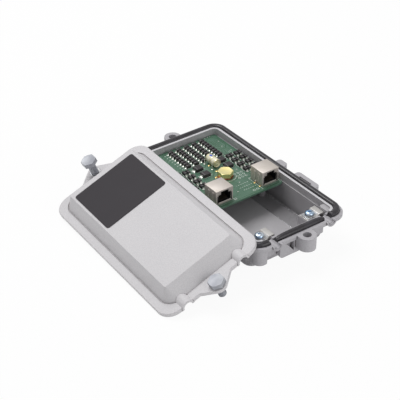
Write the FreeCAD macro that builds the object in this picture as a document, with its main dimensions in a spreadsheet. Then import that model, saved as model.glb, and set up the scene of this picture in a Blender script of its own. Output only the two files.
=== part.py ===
"""Outdoor Ethernet surge protector, lying open on a bench.

A die cast aluminium base holds a circuit board with two shielded modular
jacks, banks of surge diodes and a gas discharge tube. A domed cover, taken
off, leans with one long edge on the base's rubber seal and the other on the
bench. All lengths are millimetres. X runs across the base, the cable entries
face -Y, and Z is up from the underside of the base.
"""
import FreeCAD, Part
import math
import os
import Sketcher

Vector = FreeCAD.Vector

doc = FreeCAD.newDocument("SurgeProtector")
sheet = doc.addObject("Spreadsheet::Sheet", "Sizes")

SIZES = (
    ("flange_corner", 12.5, "plan radius of the flange corners"),
    ("flange_top", 29.0, "sealing face above the bench"),
    ("flange_thickness", 3.0, "thickness of both flanges"),
    ("flange_edge", 0.5, "softened edge of the flanges"),
    ("flange_land", 1.0, "flange outside the seal's groove, long sides"),
    ("end_land", 0.3, "flange outside the seal's groove, far end"),
    ("tub_corner", 8.0, "plan radius of the tub's outer corners"),
    ("tub_draft", 2.0, "draft angle of the cast walls, degrees"),
    ("underside_edge", 3.2, "rounding round the underside"),
    ("wall_thickness", 2.4, "side and rear walls"),
    ("wall_lean", 0.7, "what the draft adds to a side wall at the deck"),
    ("floor_thickness", 4.0, "floor along both sides"),
    ("panel_half_width", 19.0, "raised middle strip of the floor"),
    ("panel_rise", 0.9, "height of the raised strip"),
    ("cavity_corner", 3.4, "plan radius inside the tub"),
    ("ledge", 0.7, "ledge between the tub's inside and the lip"),
    ("lip_rear", 76.0, "middle of the raised lip, far end"),
    ("front_setback", 2.4, "lip and seal nearer the middle at the cable end"),
    ("lip_corner", 5.0, "plan radius of the lip"),
    ("lip_width", 2.0, "thickness of the lip"),
    ("lip_height", 1.3, "lip above the sealing face"),
    ("seal_width", 5.1, "rubber seal, across"),
    ("seal_height", 4.2, "rubber seal, from groove floor to crown"),
    ("seal_groove", 1.3, "depth of the seal's groove"),
    ("seal_bevel", 1.4, "bevelled crown of the seal"),
    ("seal_gap", 0.2, "side clearance of seal and lip"),
    ("seal_end_gap", 0.3, "seal end to the edge of a cable notch"),
    ("deck_top", 24.0, "cable deck behind the front flange"),
    ("deck_thickness", 3.4, "cable deck"),
    ("deck_overhang", 8.6, "lip in front of the tub's outer wall"),
    ("deck_reach", 1.4, "deck in front of the lip"),
    ("entry_bottom", 16.2, "underside of the cable entry box"),
    ("entry_floor", 1.6, "floor of the cable entry box"),
    ("entry_setback", 5.4, "flange edge to the face of the entry box"),
    ("entry_inset", 0.6, "right end of the entry box inside the cable's line"),
    ("entry_corner", 3.0, "upright corners of the entry box"),
    ("notch_inset", 11.2, "lip to the middle of a cable notch"),
    ("cable_radius", 2.6, "cable notch"),
    ("saddle_wall", 1.8, "metal round a cable notch"),
    ("saddle_reach", 1.4, "saddle beyond the flange edge"),
    ("arch_radius", 3.7, "cable arch of the cover, inside"),
    ("arch_wall", 1.7, "cable arch of the cover"),
    ("arch_reach", 0.4, "arch beyond the flange edge"),
    ("trough_depth", 1.6, "cable trough below the deck"),
    ("trough_half_width", 3.0, "cable trough"),
    ("column_inset", 2.3, "flange edge to the outer face of the corner column"),
    ("column_width", 10.6, "left corner column"),
    ("column_bottom", 14.2, "underside of the corner column"),
    ("column_setback", 1.6, "flange edge to the face of column and web"),
    ("column_corner", 6.4, "outer upright edge of the column"),
    ("column_round", 3.4, "inner upright edge of the column"),
    ("web_gap", 4.2, "left notch to the far face of the web"),
    ("web_end", 1.5, "near end of the web, towards -X"),
    ("web_bottom", 13.2, "underside of the web"),
    ("web_pocket", 3.6, "depth of the three-cornered pocket"),
    ("web_pocket_width", 7.4, "three-cornered pocket"),
    ("web_pocket_height", 9.4, "three-cornered pocket"),
    ("web_rib", 1.4, "rib between the pocket and the bolt ear"),
    ("ear_gap", 3.2, "flange edge to the middle of a cover bolt"),
    ("ear_radius", 7.0, "bolt ear of the base"),
    ("ear_height", 11.0, "bolt ear of the base, top to bottom"),
    ("cover_ear", 6.5, "bolt ear of the cover"),
    ("cover_ear_root", 15.5, "half width of the cover's ear at the flange"),
    ("bolt_radius", 3.175, "quarter inch cover bolt"),
    ("bolt_length", 13.4, "cover bolt under the head"),
    ("bolt_head_flats", 11.1, "cover bolt head across flats"),
    ("bolt_head_height", 4.2, "cover bolt head"),
    ("bolt_travel", 10.4, "cover bolt drawn up in its retainer"),
    ("bolt_tip", 0.8, "chamfer at the end of the thread"),
    ("bolt_clearance", 0.08, "running clearance of bolt and retainer"),
    ("tapped_depth", 9.0, "threaded hole in the base's ears"),
    ("tapped_clearance", 0.12, "hole over the bolt's outer thread"),
    ("retainer_radius", 4.3, "retaining ring, outside"),
    ("retainer_height", 1.2, "retaining ring"),
    ("cover_hole", 3.6, "clearance hole in the cover's ears"),
    ("lug_top", 26.0, "top of the side lugs"),
    ("lug_thickness", 4.2, "side lugs"),
    ("lug_length", 8.3, "side lugs beyond the flange edge"),
    ("tab_rear", 9.6, "small lug, far side"),
    ("tab_length", 10.0, "small lug along the flange"),
    ("bar_rear", 13.8, "long lug, far side, behind the middle"),
    ("bar_length", 25.5, "long lug along the flange"),
    ("bar_slot", 14.0, "shallow slot in the long lug"),
    ("lug_corner", 2.6, "rounded lug corners"),
    ("pad_width", 4.6, "solid corner pad"),
    ("pad_length", 10.1, "solid corner pad"),
    ("pedestal_length", 7.4, "clamp pedestal behind the tub's front wall"),
    ("clamp_setback", 1.1, "clamp screws behind the tub's front wall"),
    ("clamp_inset", 3.2, "left strap's foot to the lip"),
    ("clamp_gap", 0.2, "right strap to the corner pad"),
    ("clamp_width", 10.6, "clamp strap along the cable"),
    ("clamp_thickness", 1.0, "clamp strap"),
    ("clamp_foot", 5.4, "screw to the end of the strap's foot"),
    ("clamp_ramp", 3.0, "screw to the start of the ramp"),
    ("clamp_run", 2.0, "length of the ramp"),
    ("clamp_rise", 3.4, "height of the strap's crown"),
    ("clamp_crown", 5.2, "length of the strap's crown"),
    ("screw_radius", 2.0, "clamp screw thread"),
    ("screw_head_radius", 3.7, "clamp screw head"),
    ("screw_head_height", 2.4, "clamp screw head"),
    ("screw_length", 8.0, "clamp screw under its washers"),
    ("screw_slot", 0.9, "width of the cross recess"),
    ("screw_wall", 1.5, "metal round a clamp screw under the deck"),
    ("screw_floor", 1.5, "metal under a clamp screw's hole"),
    ("washer_side", 8.6, "square washer"),
    ("washer_thickness", 0.8, "square washer"),
    ("spring_washer_radius", 3.6, "split washer"),
    ("spring_washer_thickness", 0.9, "split washer"),
    ("board_top", 25.0, "component face of the board"),
    ("board_thickness", 1.6, "circuit board"),
    ("board_corner", 2.2, "corner radius"),
    ("board_margin", 0.6, "board beyond the last diode of the right bank"),
    ("board_side_gap", 0.7, "board to the tub's side walls"),
    ("board_end_gap", 0.6, "board to the tub's far wall"),
    ("post_radius", 3.2, "board posts cast in the floor"),
    ("post_inset", 5.0, "board posts from the board's side and rear edges"),
    ("post_setback", 20.0, "front posts behind the board's front edge"),
    ("jack_left_margin", 6.2, "left jack to the board's side edge"),
    ("jack_right_margin", 1.9, "right jack to the board's side edge"),
    ("jack_gap", 10.15, "back of the jacks to the side banks"),
    ("jack_setback", 3.8, "board in front of the jack faces"),
    ("jack_width", 16.0, "shielded jack"),
    ("jack_depth", 15.0, "shielded jack"),
    ("jack_height", 12.6, "shielded jack"),
    ("shield_thickness", 0.4, "tinned jack shield"),
    ("socket_width", 11.8, "plug opening"),
    ("socket_height", 7.0, "plug opening below its shoulders"),
    ("socket_sill", 1.9, "plug opening above the board"),
    ("socket_depth", 11.8, "plug opening"),
    ("latch_width", 6.2, "upper notch of the plug opening"),
    ("latch_height", 2.3, "upper notch of the plug opening"),
    ("contact_pitch", 1.02, "spring contacts"),
    ("contact_width", 0.42, "spring contacts"),
    ("contact_inset", 1.2, "spring contacts behind the face"),
    ("ground_x", 3.0, "brass ground stud"),
    ("ground_gap", 6.4, "copper ring to the gas tube"),
    ("ground_flats", 11.1, "brass ground stud across flats"),
    ("ground_height", 4.2, "brass head"),
    ("ground_shank", 2.4, "shank of the brass stud"),
    ("ground_grip", 10.0, "shank below the copper ring"),
    ("ring_radius", 7.0, "copper ring"),
    ("ring_thickness", 0.8, "copper ring"),
    ("tube_x", 4.9, "gas tube"),
    ("tube_radius", 4.0, "gas tube"),
    ("tube_length", 11.6, "gas tube"),
    ("tube_lift", 0.2, "gas tube above the board"),
    ("tube_cap", 1.3, "end electrode of the gas tube"),
    ("tube_lead", 0.5, "lead wire radius"),
    ("tube_gap", 0.35, "gas tube to the large diodes beside it"),
    ("tube_margin", 1.25, "gas tube to the rear bank"),
    ("diode_length", 4.3, "small surge diode"),
    ("diode_width", 2.6, "small surge diode"),
    ("diode_height", 2.2, "small surge diode"),
    ("diode_span", 5.3, "small surge diode with its leads"),
    ("diode_lead_width", 1.5, "small diode lead"),
    ("diode_lead_height", 1.2, "small diode lead"),
    ("diode_skirt", 0.1, "body above the board"),
    ("diode_taper", 7.0, "sloping sides of the packages, degrees"),
    ("bank_left", 13.4, "first column of the rear bank, towards -X"),
    ("bank_pitch", 7.75, "columns of the rear bank"),
    ("bank_margin", 4.8, "first row of the rear bank to the board's edge"),
    ("bank_row_pitch", 3.45, "rows of the rear bank"),
    ("bank_group_gap", 14.3, "first row to the first row of the next group"),
    ("pair_gap", 2.8, "side banks to the rear bank"),
    ("pair_gap_left", 7.35, "left bank to the large diodes"),
    ("pair_gap_right", 2.55, "right bank to the large diodes"),
    ("pair_row_pitch", 7.6, "rows of the side banks"),
    ("pair_pitch", 3.3, "two diodes of a pair"),
    ("pair_group_pitch", 8.0, "second pair of a side bank"),
    ("power_length", 7.0, "large surge diode"),
    ("power_width", 5.9, "large surge diode"),
    ("power_height", 2.5, "large surge diode"),
    ("power_span", 8.1, "large surge diode with its leads"),
    ("power_lead_width", 3.0, "large diode lead"),
    ("power_lead_height", 1.4, "large diode lead"),
    ("power_left", 9.3, "large diodes, towards -X"),
    ("power_gap", 3.4, "large diodes to the rear bank"),
    ("power_pitch", 10.0, "large diodes, row spacing"),
    ("cover_rim", 7.3, "cover flange beside the dome"),
    ("cover_rim_front", 7.2, "cover flange in front of the dome"),
    ("cover_rim_rear", 5.8, "cover flange behind the dome"),
    ("dome_corner", 11.0, "plan radius of the dome's foot"),
    ("dome_groove", 0.8, "groove round the dome's foot"),
    ("slope_side", 6.7, "run of the dome's side slopes"),
    ("slope_front", 8.4, "run of the dome's front slope"),
    ("slope_rear", 7.0, "run of the dome's rear slope"),
    ("crown_corner", 1.2, "plan radius of the flat top"),
    ("crown_height", 13.7, "flat top above the cover's sealing face"),
    ("cover_wall", 2.6, "cover wall"),
    ("label_margin", 1.9, "label to the sides of the flat top"),
    ("label_margin_rear", 5.2, "label to the rear of the flat top"),
    ("label_length", 50.4, "label along the cover"),
    ("label_corner", 2.2, "label corners"),
    ("label_thickness", 0.35, "label"),
    ("cover_overlap", 11.05, "what the leaning cover's width exceeds its reach"),
    ("cover_shift", 2.3, "cover's middle towards +Y"),
    ("cover_turn", 2.0, "cover turned clockwise in its own plane, degrees"),
    ("rest_gap", 0.15, "clearance where the cover leans on the seal"),
)

# What is worked out from the sizes above, in order.
DERIVED = (
    ("power_right", "tube_x + tube_radius + tube_gap + power_span / 2", "large diodes, towards +X"),
    ("pair_right", "power_right + power_span / 2 + pair_gap_right + diode_width / 2", "right bank, first pair"),
    ("pair_left", "power_left + power_span / 2 + pair_gap_left + diode_width / 2", "left bank, outer of first pair"),
    ("board_half_width", "pair_right + pair_group_pitch + pair_pitch + diode_width / 2 + board_margin", "board"),
    ("cavity_half_width", "board_half_width + board_side_gap", "inside of the tub"),
    ("tub_half_width", "cavity_half_width + wall_thickness - wall_lean", "outer wall at the underside"),
    ("lip_half_width", "cavity_half_width + ledge + lip_width / 2", "middle of the raised lip"),
    ("flange_half_width", "lip_half_width + lip_width / 2 + seal_gap * 2 + seal_width + flange_land", "flange"),
    ("lip_front", "lip_rear - front_setback", "middle of the raised lip, cable end"),
    ("flange_half_length", "lip_rear + lip_width / 2 + seal_gap * 2 + seal_width + end_land", "flange"),
    ("tub_front", "lip_front - deck_overhang", "outer front wall at the underside"),
    ("tub_rear", "lip_rear - lip_width / 2 + wall_thickness", "outer rear wall at the underside"),
    ("deck_front", "lip_front + deck_reach", "front face of the deck"),
    ("entry_front", "flange_half_length - entry_setback", "front face of the entry box"),
    ("cable_offset", "lip_half_width - notch_inset", "cable notch from the middle"),
    ("column_left", "flange_half_width - column_inset", "corner column, outer face"),
    ("column_right", "column_left - column_width", "corner column, inner face"),
    ("column_front", "flange_half_length - column_setback", "front face of column and web"),
    ("web_left", "cable_offset - web_gap", "left web, far face"),
    ("ear_offset", "flange_half_length + ear_gap", "cover bolt from the middle"),
    ("lug_reach", "flange_half_width + lug_length", "centre to the end of the side lugs"),
    ("pad_left", "lip_half_width - lip_width / 2 - pad_width", "corner pad, inner side"),
    ("pad_rear", "lip_front - lip_width / 2 - pad_length", "corner pad, far side"),
    ("pedestal_rear", "tub_front - pedestal_length", "clamp pedestal, far side"),
    ("clamp_line", "tub_front - clamp_setback", "clamp screws in front of the middle"),
    ("clamp_left_place", "lip_half_width - lip_width / 2 - clamp_inset - clamp_foot", "left clamp screw"),
    ("clamp_right_place", "pad_left - clamp_gap - clamp_crown - clamp_run - clamp_ramp", "right clamp screw"),
    ("board_rear", "lip_rear - lip_width / 2 - board_end_gap", "board's rear edge"),
    ("bank_rear", "board_rear - bank_margin", "first row of the rear bank"),
    ("bank_last", "bank_rear - bank_group_gap - bank_row_pitch * 3", "last row of the rear bank"),
    ("power_rear", "bank_last - diode_width / 2 - power_gap - power_width / 2", "large diodes, far row"),
    ("pair_rear", "bank_last - diode_width / 2 - pair_gap - diode_span / 2", "first row of the side banks"),
    ("tube_y", "bank_last - diode_width / 2 - tube_margin - tube_length / 2", "gas tube"),
    ("ground_y", "tube_y - tube_length / 2 - ground_gap - ring_radius", "brass ground stud"),
    ("jack_face", "pair_rear - pair_row_pitch * 3 - diode_span / 2 - jack_gap - jack_depth", "jack faces"),
    ("board_front", "jack_setback - jack_face", "board's front edge, in front of the middle"),
    ("jack_left_place", "board_half_width - jack_left_margin - jack_width / 2", "left jack, towards -X"),
    ("jack_right_place", "board_half_width - jack_right_margin - jack_width / 2", "right jack, towards +X"),
    ("dome_half_width", "flange_half_width - cover_rim", "cover dome at its foot"),
    ("dome_front", "flange_half_length - cover_rim_front", "cover dome at its foot, front"),
    ("dome_rear", "flange_half_length - cover_rim_rear", "cover dome at its foot, rear"),
    ("crown_half_width", "dome_half_width - slope_side", "flat top of the cover"),
    ("crown_front", "dome_front - slope_front", "flat top of the cover, front"),
    ("crown_rear", "dome_rear - slope_rear", "flat top of the cover, rear"),
    ("label_half_width", "crown_half_width - label_margin", "label on the cover"),
    ("label_rear", "crown_rear - label_margin_rear", "label, far edge"),
    ("label_front", "label_rear - label_length", "label, near edge"),
    ("cover_reach", "flange_half_width * 2 - cover_overlap", "cover's rest on the bench to its rest on the seal"),
)


class Size:
    """A number of the sheet with the expression that binds a feature to it."""

    def __init__(self, value, text):
        self.value = value
        self.text = text

    def joined(self, other, sign, value):
        words = other.text if isinstance(other, Size) else repr(float(other))
        return Size(value, "(%s %s %s)" % (self.text, sign, words))

    def __add__(self, other):
        return self.joined(other, "+", self.value + number(other))

    def __sub__(self, other):
        return self.joined(other, "-", self.value - number(other))

    def __mul__(self, other):
        return self.joined(other, "*", self.value * number(other))

    def __truediv__(self, other):
        return self.joined(other, "/", self.value / number(other))

    def __neg__(self):
        return Size(-self.value, "(0 - %s)" % self.text)


def number(item):
    """The plain number behind a size or a number."""
    return item.value if isinstance(item, Size) else float(item)


def fixed(value):
    """A size that is a plain number, such as an origin at zero."""
    return value if isinstance(value, Size) else Size(float(value), repr(float(value)))


class Table:
    """The named sizes, read as attributes."""


size = Table()
for row, (name, amount, meaning) in enumerate(SIZES + DERIVED, 1):
    sheet.set("A%d" % row, name)
    sheet.set("B%d" % row, "=" + amount if isinstance(amount, str) else str(amount))
    sheet.set("C%d" % row, meaning)
    sheet.setAlias("B%d" % row, name)
doc.recompute()
for name, amount, meaning in SIZES + DERIVED:
    setattr(size, name, Size(float(sheet.get(name)), "Sizes." + name))


def bind(item, **links):
    """Tie properties to the sheet; a double underscore stands for a dot."""
    for prop, amount in links.items():
        item.setExpression(prop.replace("__", "."), fixed(amount).text)


def origin_plane(body, role):
    """One of a body's own origin planes."""
    return [plane for plane in body.Origin.OriginFeatures if plane.Role == role][0]


def new_body(name):
    """An empty body whose name and label are the sub-part's."""
    body = doc.addObject("PartDesign::Body", name)
    body.Label = name
    return body


def new_sketch(body, name, height=0.0, role="XY_Plane"):
    """A sketch on an origin plane of the body, at a height along its normal."""
    sketch = body.newObject("Sketcher::SketchObject", name)
    sketch.AttachmentSupport = [(origin_plane(body, role), "")]
    sketch.MapMode = "FlatFace"
    sketch.AttachmentOffset = FreeCAD.Placement(Vector(0, 0, number(height)), FreeCAD.Rotation())
    bind(sketch, AttachmentOffset__Base__z=height)
    return sketch


def pin_point(sketch, geometry, point, x=None, y=None):
    """Hold one point of a sketch at given distances from the origin."""
    for kind, amount in (("DistanceX", x), ("DistanceY", y)):
        if amount is None:
            continue
        amount = fixed(amount)
        if amount.value >= 0:
            rule = Sketcher.Constraint(kind, -1, 1, geometry, point, amount.value)
        else:
            rule = Sketcher.Constraint(kind, geometry, point, -1, 1, -amount.value)
            amount = -amount
        index = sketch.addConstraint(rule)
        sketch.setExpression("Constraints[%d]" % index, amount.text)


def draw_outline(sketch, left, right, front, rear, radius):
    """A rounded rectangle: left, right, front and rear are signed places."""
    x0, x1, y0, y1 = number(left), number(right), number(front), number(rear)
    r = number(radius)
    lines = (
        (Vector(x0 + r, y0), Vector(x1 - r, y0)),
        (Vector(x1, y0 + r), Vector(x1, y1 - r)),
        (Vector(x1 - r, y1), Vector(x0 + r, y1)),
        (Vector(x0, y1 - r), Vector(x0, y0 + r)),
    )
    centres = (Vector(x1 - r, y0 + r), Vector(x1 - r, y1 - r), Vector(x0 + r, y1 - r), Vector(x0 + r, y0 + r))
    first = sketch.GeometryCount
    for turn, (line, centre) in enumerate(zip(lines, centres)):
        circle = Part.Circle(centre, Vector(0, 0, 1), r)
        start = math.radians(-90 + 90 * turn)
        sketch.addGeometry(Part.LineSegment(line[0], line[1]))
        sketch.addGeometry(Part.ArcOfCircle(circle, start, start + math.radians(90)))
    for turn in range(4):
        line = first + 2 * turn
        arc = line + 1
        after = first + (2 * turn + 2) % 8
        sketch.addConstraint(Sketcher.Constraint("Tangent", line, 2, arc, 1))
        sketch.addConstraint(Sketcher.Constraint("Tangent", arc, 2, after, 1))
        sketch.addConstraint(Sketcher.Constraint("Horizontal" if turn % 2 == 0 else "Vertical", line))
        if turn:
            sketch.addConstraint(Sketcher.Constraint("Equal", first + 1, arc))
    index = sketch.addConstraint(Sketcher.Constraint("Radius", first + 1, r))
    sketch.setExpression("Constraints[%d]" % index, fixed(radius).text)
    pin_point(sketch, first, 1, y=front)
    pin_point(sketch, first + 2, 1, x=right)
    pin_point(sketch, first + 4, 1, y=rear)
    pin_point(sketch, first + 6, 1, x=left)


def draw_circle(sketch, x, y, radius):
    """A circle at a place."""
    centre = Vector(number(x), number(y))
    index = sketch.addGeometry(Part.Circle(centre, Vector(0, 0, 1), number(radius)))
    rule = sketch.addConstraint(Sketcher.Constraint("Radius", index, number(radius)))
    sketch.setExpression("Constraints[%d]" % rule, fixed(radius).text)
    pin_point(sketch, index, 3, x, y)


def draw_polygon(sketch, corners):
    """A closed chain of straight lines whose corners are all held."""
    points = [Vector(number(x), number(y)) for x, y in corners]
    first = sketch.GeometryCount
    total = len(points)
    for index, point in enumerate(points):
        sketch.addGeometry(Part.LineSegment(point, points[(index + 1) % total]))
    for index, (x, y) in enumerate(corners):
        after = first + (index + 1) % total
        sketch.addConstraint(Sketcher.Constraint("Coincident", first + index, 2, after, 1))
        pin_point(sketch, first + index, 1, x, y)


def pad(body, sketch, length, name, taper=None, reverse=False):
    """Pad a sketch along its normal, or against it."""
    feature = body.newObject("PartDesign::Pad", name)
    feature.Profile = sketch
    feature.Reversed = reverse
    bind(feature, Length=length)
    if taper is not None:
        bind(feature, TaperAngle=taper)
    return feature


def pocket(body, sketch, depth, name, taper=None, reverse=False):
    """Cut a sketch into the body against its normal, or along it."""
    feature = body.newObject("PartDesign::Pocket", name)
    feature.Profile = sketch
    feature.Reversed = reverse
    bind(feature, Length=depth)
    if taper is not None:
        bind(feature, TaperAngle=taper)
    return feature


def fillet_edges(body, feature, name, radius, chosen):
    """Round the edges of a feature that a test picks."""
    doc.recompute()
    edges = [edge for edge in enumerate(feature.Shape.Edges, 1) if chosen(edge[1])]
    rounding = body.newObject("PartDesign::Fillet", name)
    rounding.Base = (feature, ["Edge%d" % index for index, _ in edges])
    bind(rounding, Radius=radius)
    return rounding


def bevel_edges(body, feature, name, reach, chosen):
    """Bevel the edges of a feature that a test picks."""
    doc.recompute()
    edges = [edge for edge in enumerate(feature.Shape.Edges, 1) if chosen(edge[1])]
    bevel = body.newObject("PartDesign::Chamfer", name)
    bevel.Base = (feature, ["Edge%d" % index for index, _ in edges])
    bind(bevel, Size=reach)
    return bevel


def at_height(height, tolerance=0.01):
    """A test for edges that lie level at one height."""
    level = number(height)

    def chosen(edge):
        box = edge.BoundBox
        return abs(box.ZMin - level) < tolerance and abs(box.ZMax - level) < tolerance

    return chosen


def upright_at(corner, tolerance=0.01):
    """A test for upright edges at one plan position."""
    x, y = number(corner[0]), number(corner[1])

    def chosen(edge):
        box = edge.BoundBox
        here = abs(box.XMin - x) < tolerance and abs(box.YMin - y) < tolerance
        return here and box.XLength < tolerance and box.YLength < tolerance

    return chosen


def level_along_y(place, height, tolerance=0.01):
    """A test for edges that run along Y at one place and height."""
    x, z = number(place), number(height)

    def chosen(edge):
        box = edge.BoundBox
        here = abs(box.XMin - x) < tolerance and abs(box.ZMin - z) < tolerance
        return here and box.XLength < tolerance and box.ZLength < tolerance

    return chosen


def block(name, low, sides):
    """A Part box between a low corner and its side lengths."""
    item = doc.addObject("Part::Box", name)
    bind(item, Length=sides[0], Width=sides[1], Height=sides[2])
    bind(item, Placement__Base__x=low[0], Placement__Base__y=low[1], Placement__Base__z=low[2])
    return item


def rod(name, base, radius, height, axis=Vector(0, 0, 1)):
    """A Part cylinder from a base point along an axis."""
    item = doc.addObject("Part::Cylinder", name)
    item.Placement = FreeCAD.Placement(Vector(0, 0, 0), FreeCAD.Rotation(Vector(0, 0, 1), axis))
    bind(item, Radius=radius, Height=height)
    bind(item, Placement__Base__x=base[0], Placement__Base__y=base[1], Placement__Base__z=base[2])
    return item


def prism(name, base, flats, height):
    """A hexagonal prism, stated across its flats."""
    item = doc.addObject("Part::Prism", name)
    item.Polygon = 6
    bind(item, Circumradius=flats / math.sqrt(3.0), Height=height)
    bind(item, Placement__Base__x=base[0], Placement__Base__y=base[1], Placement__Base__z=base[2])
    return item


def cone(name, base, lower, upper, height):
    """A Part cone standing on a base point."""
    item = doc.addObject("Part::Cone", name)
    bind(item, Radius1=lower, Radius2=upper, Height=height)
    bind(item, Placement__Base__x=base[0], Placement__Base__y=base[1], Placement__Base__z=base[2])
    return item


def cut(name, base, tool):
    """One Part object less another."""
    item = doc.addObject("Part::Cut", name)
    item.Base = base
    item.Tool = tool
    return item


def common(name, *pieces):
    """The shared space of Part objects."""
    item = doc.addObject("Part::MultiCommon", name)
    item.Shapes = list(pieces)
    return item


def fuse(name, *pieces):
    """Several Part objects as one solid."""
    item = doc.addObject("Part::MultiFuse", name)
    item.Shapes = list(pieces)
    item.Refine = True
    return item


def group(name, *pieces):
    """Separate solids that share a node."""
    item = doc.addObject("Part::Compound", name)
    item.Links = list(pieces)
    return item


nodes = []


def node(item, name):
    """Register a finished sub-part under its label."""
    item.Label = name
    nodes.append(item)
    return item


# Heights and places that several pieces share.
flange_bottom = size.flange_top - size.flange_thickness
seal_outset = size.lip_width / 2 + size.seal_gap + size.seal_width / 2
seal_half_width = size.lip_half_width + seal_outset
seal_front = size.lip_front + seal_outset
seal_rear = size.lip_rear + seal_outset
seal_corner = size.lip_corner + seal_outset
seal_floor = size.flange_top - size.seal_groove
inner_half_width = size.lip_half_width - size.lip_width / 2
inner_front = size.lip_front - size.lip_width / 2
inner_rear = size.lip_rear - size.lip_width / 2
inner_corner = size.lip_corner - size.lip_width / 2
clamp_left = -size.clamp_left_place
clamp_right = size.clamp_right_place
crown_middle = size.clamp_ramp + size.clamp_run + size.clamp_crown / 2
crown_end = size.clamp_ramp + size.clamp_run + size.clamp_crown
post_height = size.board_top - size.board_thickness
seal_crown = size.seal_bevel


def ring_sketch(body, name, height, half_width, front, rear, corner, width):
    """Two rounded outlines either side of a middle line."""
    sketch = new_sketch(body, name, height)
    for sign in (1, -1):
        grow = width * (0.5 * sign)
        draw_outline(
            sketch, -(half_width + grow), half_width + grow,
            -(front + grow), rear + grow, corner + grow,
        )
    return sketch


def box_sketch(body, name, height, left, right, front, rear):
    """A plain rectangle on the XY plane."""
    sketch = new_sketch(body, name, height)
    draw_polygon(sketch, ((left, front), (right, front), (right, rear), (left, rear)))
    return sketch


def cast_tub(body):
    """The deep tub, its drafted walls and its rounded underside."""
    outline = new_sketch(body, "TubOutline")
    draw_outline(
        outline, -size.tub_half_width, size.tub_half_width,
        -size.tub_front, size.tub_rear, size.tub_corner,
    )
    walls = pad(body, outline, flange_bottom + 0.5, "TubWalls", size.tub_draft)
    fillet_edges(body, walls, "UndersideEdge", size.underside_edge, at_height(0))


def cast_flange(body):
    """The flange that carries the seal, with softened edges."""
    outline = new_sketch(body, "FlangeOutline", flange_bottom)
    draw_outline(
        outline, -size.flange_half_width, size.flange_half_width,
        -size.flange_half_length, size.flange_half_length, size.flange_corner,
    )
    plate = pad(body, outline, size.flange_thickness, "FlangePlate")
    reach = size.flange_half_width.value - 0.1

    def rim(edge):
        box = edge.BoundBox
        outside = max(abs(box.XMin), abs(box.XMax)) > reach or max(abs(box.YMin), abs(box.YMax)) > reach + 30
        return outside and at_height(size.flange_top)(edge)

    bevel_edges(body, plate, "FlangeEdge", size.flange_edge, rim)


def cast_front(body):
    """The cable deck and entry box, the corner column and the pocketed web."""
    deck_bottom = size.deck_top - size.deck_thickness
    deck = new_sketch(body, "DeckOutline", deck_bottom)
    draw_outline(
        deck, -inner_half_width, inner_half_width,
        -size.deck_front, -size.tub_front + 8, inner_corner,
    )
    pad(body, deck, flange_bottom - deck_bottom, "Deck")
    entry = new_sketch(body, "EntryOutline", size.entry_bottom)
    draw_outline(
        entry, -inner_half_width, size.cable_offset - size.entry_inset,
        -size.entry_front, -size.tub_front + 8, size.entry_corner,
    )
    pad(body, entry, flange_bottom - size.entry_bottom, "EntryBox")
    column = box_sketch(
        body, "ColumnOutline", size.column_bottom, -size.column_left, -size.column_right,
        -size.column_front, -size.tub_front + 6,
    )
    shaft = pad(body, column, flange_bottom - size.column_bottom, "Column")
    outer_edge = upright_at((-size.column_left, -size.column_front))
    rounded = fillet_edges(body, shaft, "ColumnCorner", size.column_corner, outer_edge)
    inner_edge = upright_at((-size.column_right, -size.column_front))
    fillet_edges(body, rounded, "ColumnRound", size.column_round, inner_edge)
    web = box_sketch(
        body, "WebOutline", size.web_bottom, -size.web_left, -size.web_end,
        -size.column_front, -size.tub_front + 6,
    )
    plate = pad(body, web, flange_bottom - size.web_bottom, "Web")
    fillet_edges(body, plate, "WebEdge", size.underside_edge, level_along_y(-size.web_left, size.web_bottom))
    hollow = new_sketch(body, "WebPocketOutline", size.column_front, "XZ_Plane")
    right = -(size.ear_radius + size.web_rib)
    top = flange_bottom - size.flange_edge
    draw_polygon(hollow, (
        (right - size.web_pocket_width, top - size.flange_edge), (right, top), (right, top - size.web_pocket_height),
    ))
    pocket(body, hollow, size.web_pocket, "WebPocket")


def cast_ears(body):
    """The two bolt ears with their blind threaded holes."""
    bottom = size.flange_top - size.ear_height
    for label, side in (("Front", -1), ("Rear", 1)):
        outline = new_sketch(body, label + "EarOutline", bottom)
        inward = size.ear_offset * side - size.ear_radius * (1.6 * side)
        middle = size.ear_offset * side
        radius = size.ear_radius
        draw_ear(outline, middle, inward, radius, side)
        pad(body, outline, size.ear_height, label + "Ear")
        hole = new_sketch(body, label + "EarHole", size.flange_top)
        draw_circle(hole, 0, middle, size.bolt_radius + size.tapped_clearance)
        pocket(body, hole, size.tapped_depth, label + "TappedHole")


def draw_ear(sketch, middle, inward, radius, side):
    """A tongue with a round end, running out from the flange."""
    x, y0, y1 = radius.value, inward.value, middle.value
    sketch.addGeometry(Part.LineSegment(Vector(-x, y0), Vector(x, y0)))
    sketch.addGeometry(Part.LineSegment(Vector(x, y0), Vector(x, y1)))
    circle = Part.Circle(Vector(0, y1), Vector(0, 0, 1), x)
    start = 0.0 if side > 0 else math.pi
    sketch.addGeometry(Part.ArcOfCircle(circle, start, start + math.pi))
    sketch.addGeometry(Part.LineSegment(Vector(-x, y1), Vector(-x, y0)))
    tip_right, tip_left = (1, 2) if side > 0 else (2, 1)
    sketch.addConstraint(Sketcher.Constraint("Coincident", 0, 2, 1, 1))
    sketch.addConstraint(Sketcher.Constraint("Coincident", 1, 2, 2, tip_right))
    sketch.addConstraint(Sketcher.Constraint("Coincident", 2, tip_left, 3, 1))
    sketch.addConstraint(Sketcher.Constraint("Coincident", 3, 2, 0, 1))
    pin_point(sketch, 0, 1, -radius, inward)
    pin_point(sketch, 1, 1, radius, inward)
    pin_point(sketch, 1, 2, radius, middle)
    pin_point(sketch, 3, 1, -radius, middle)
    pin_point(sketch, 2, 3, y=middle)


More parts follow.
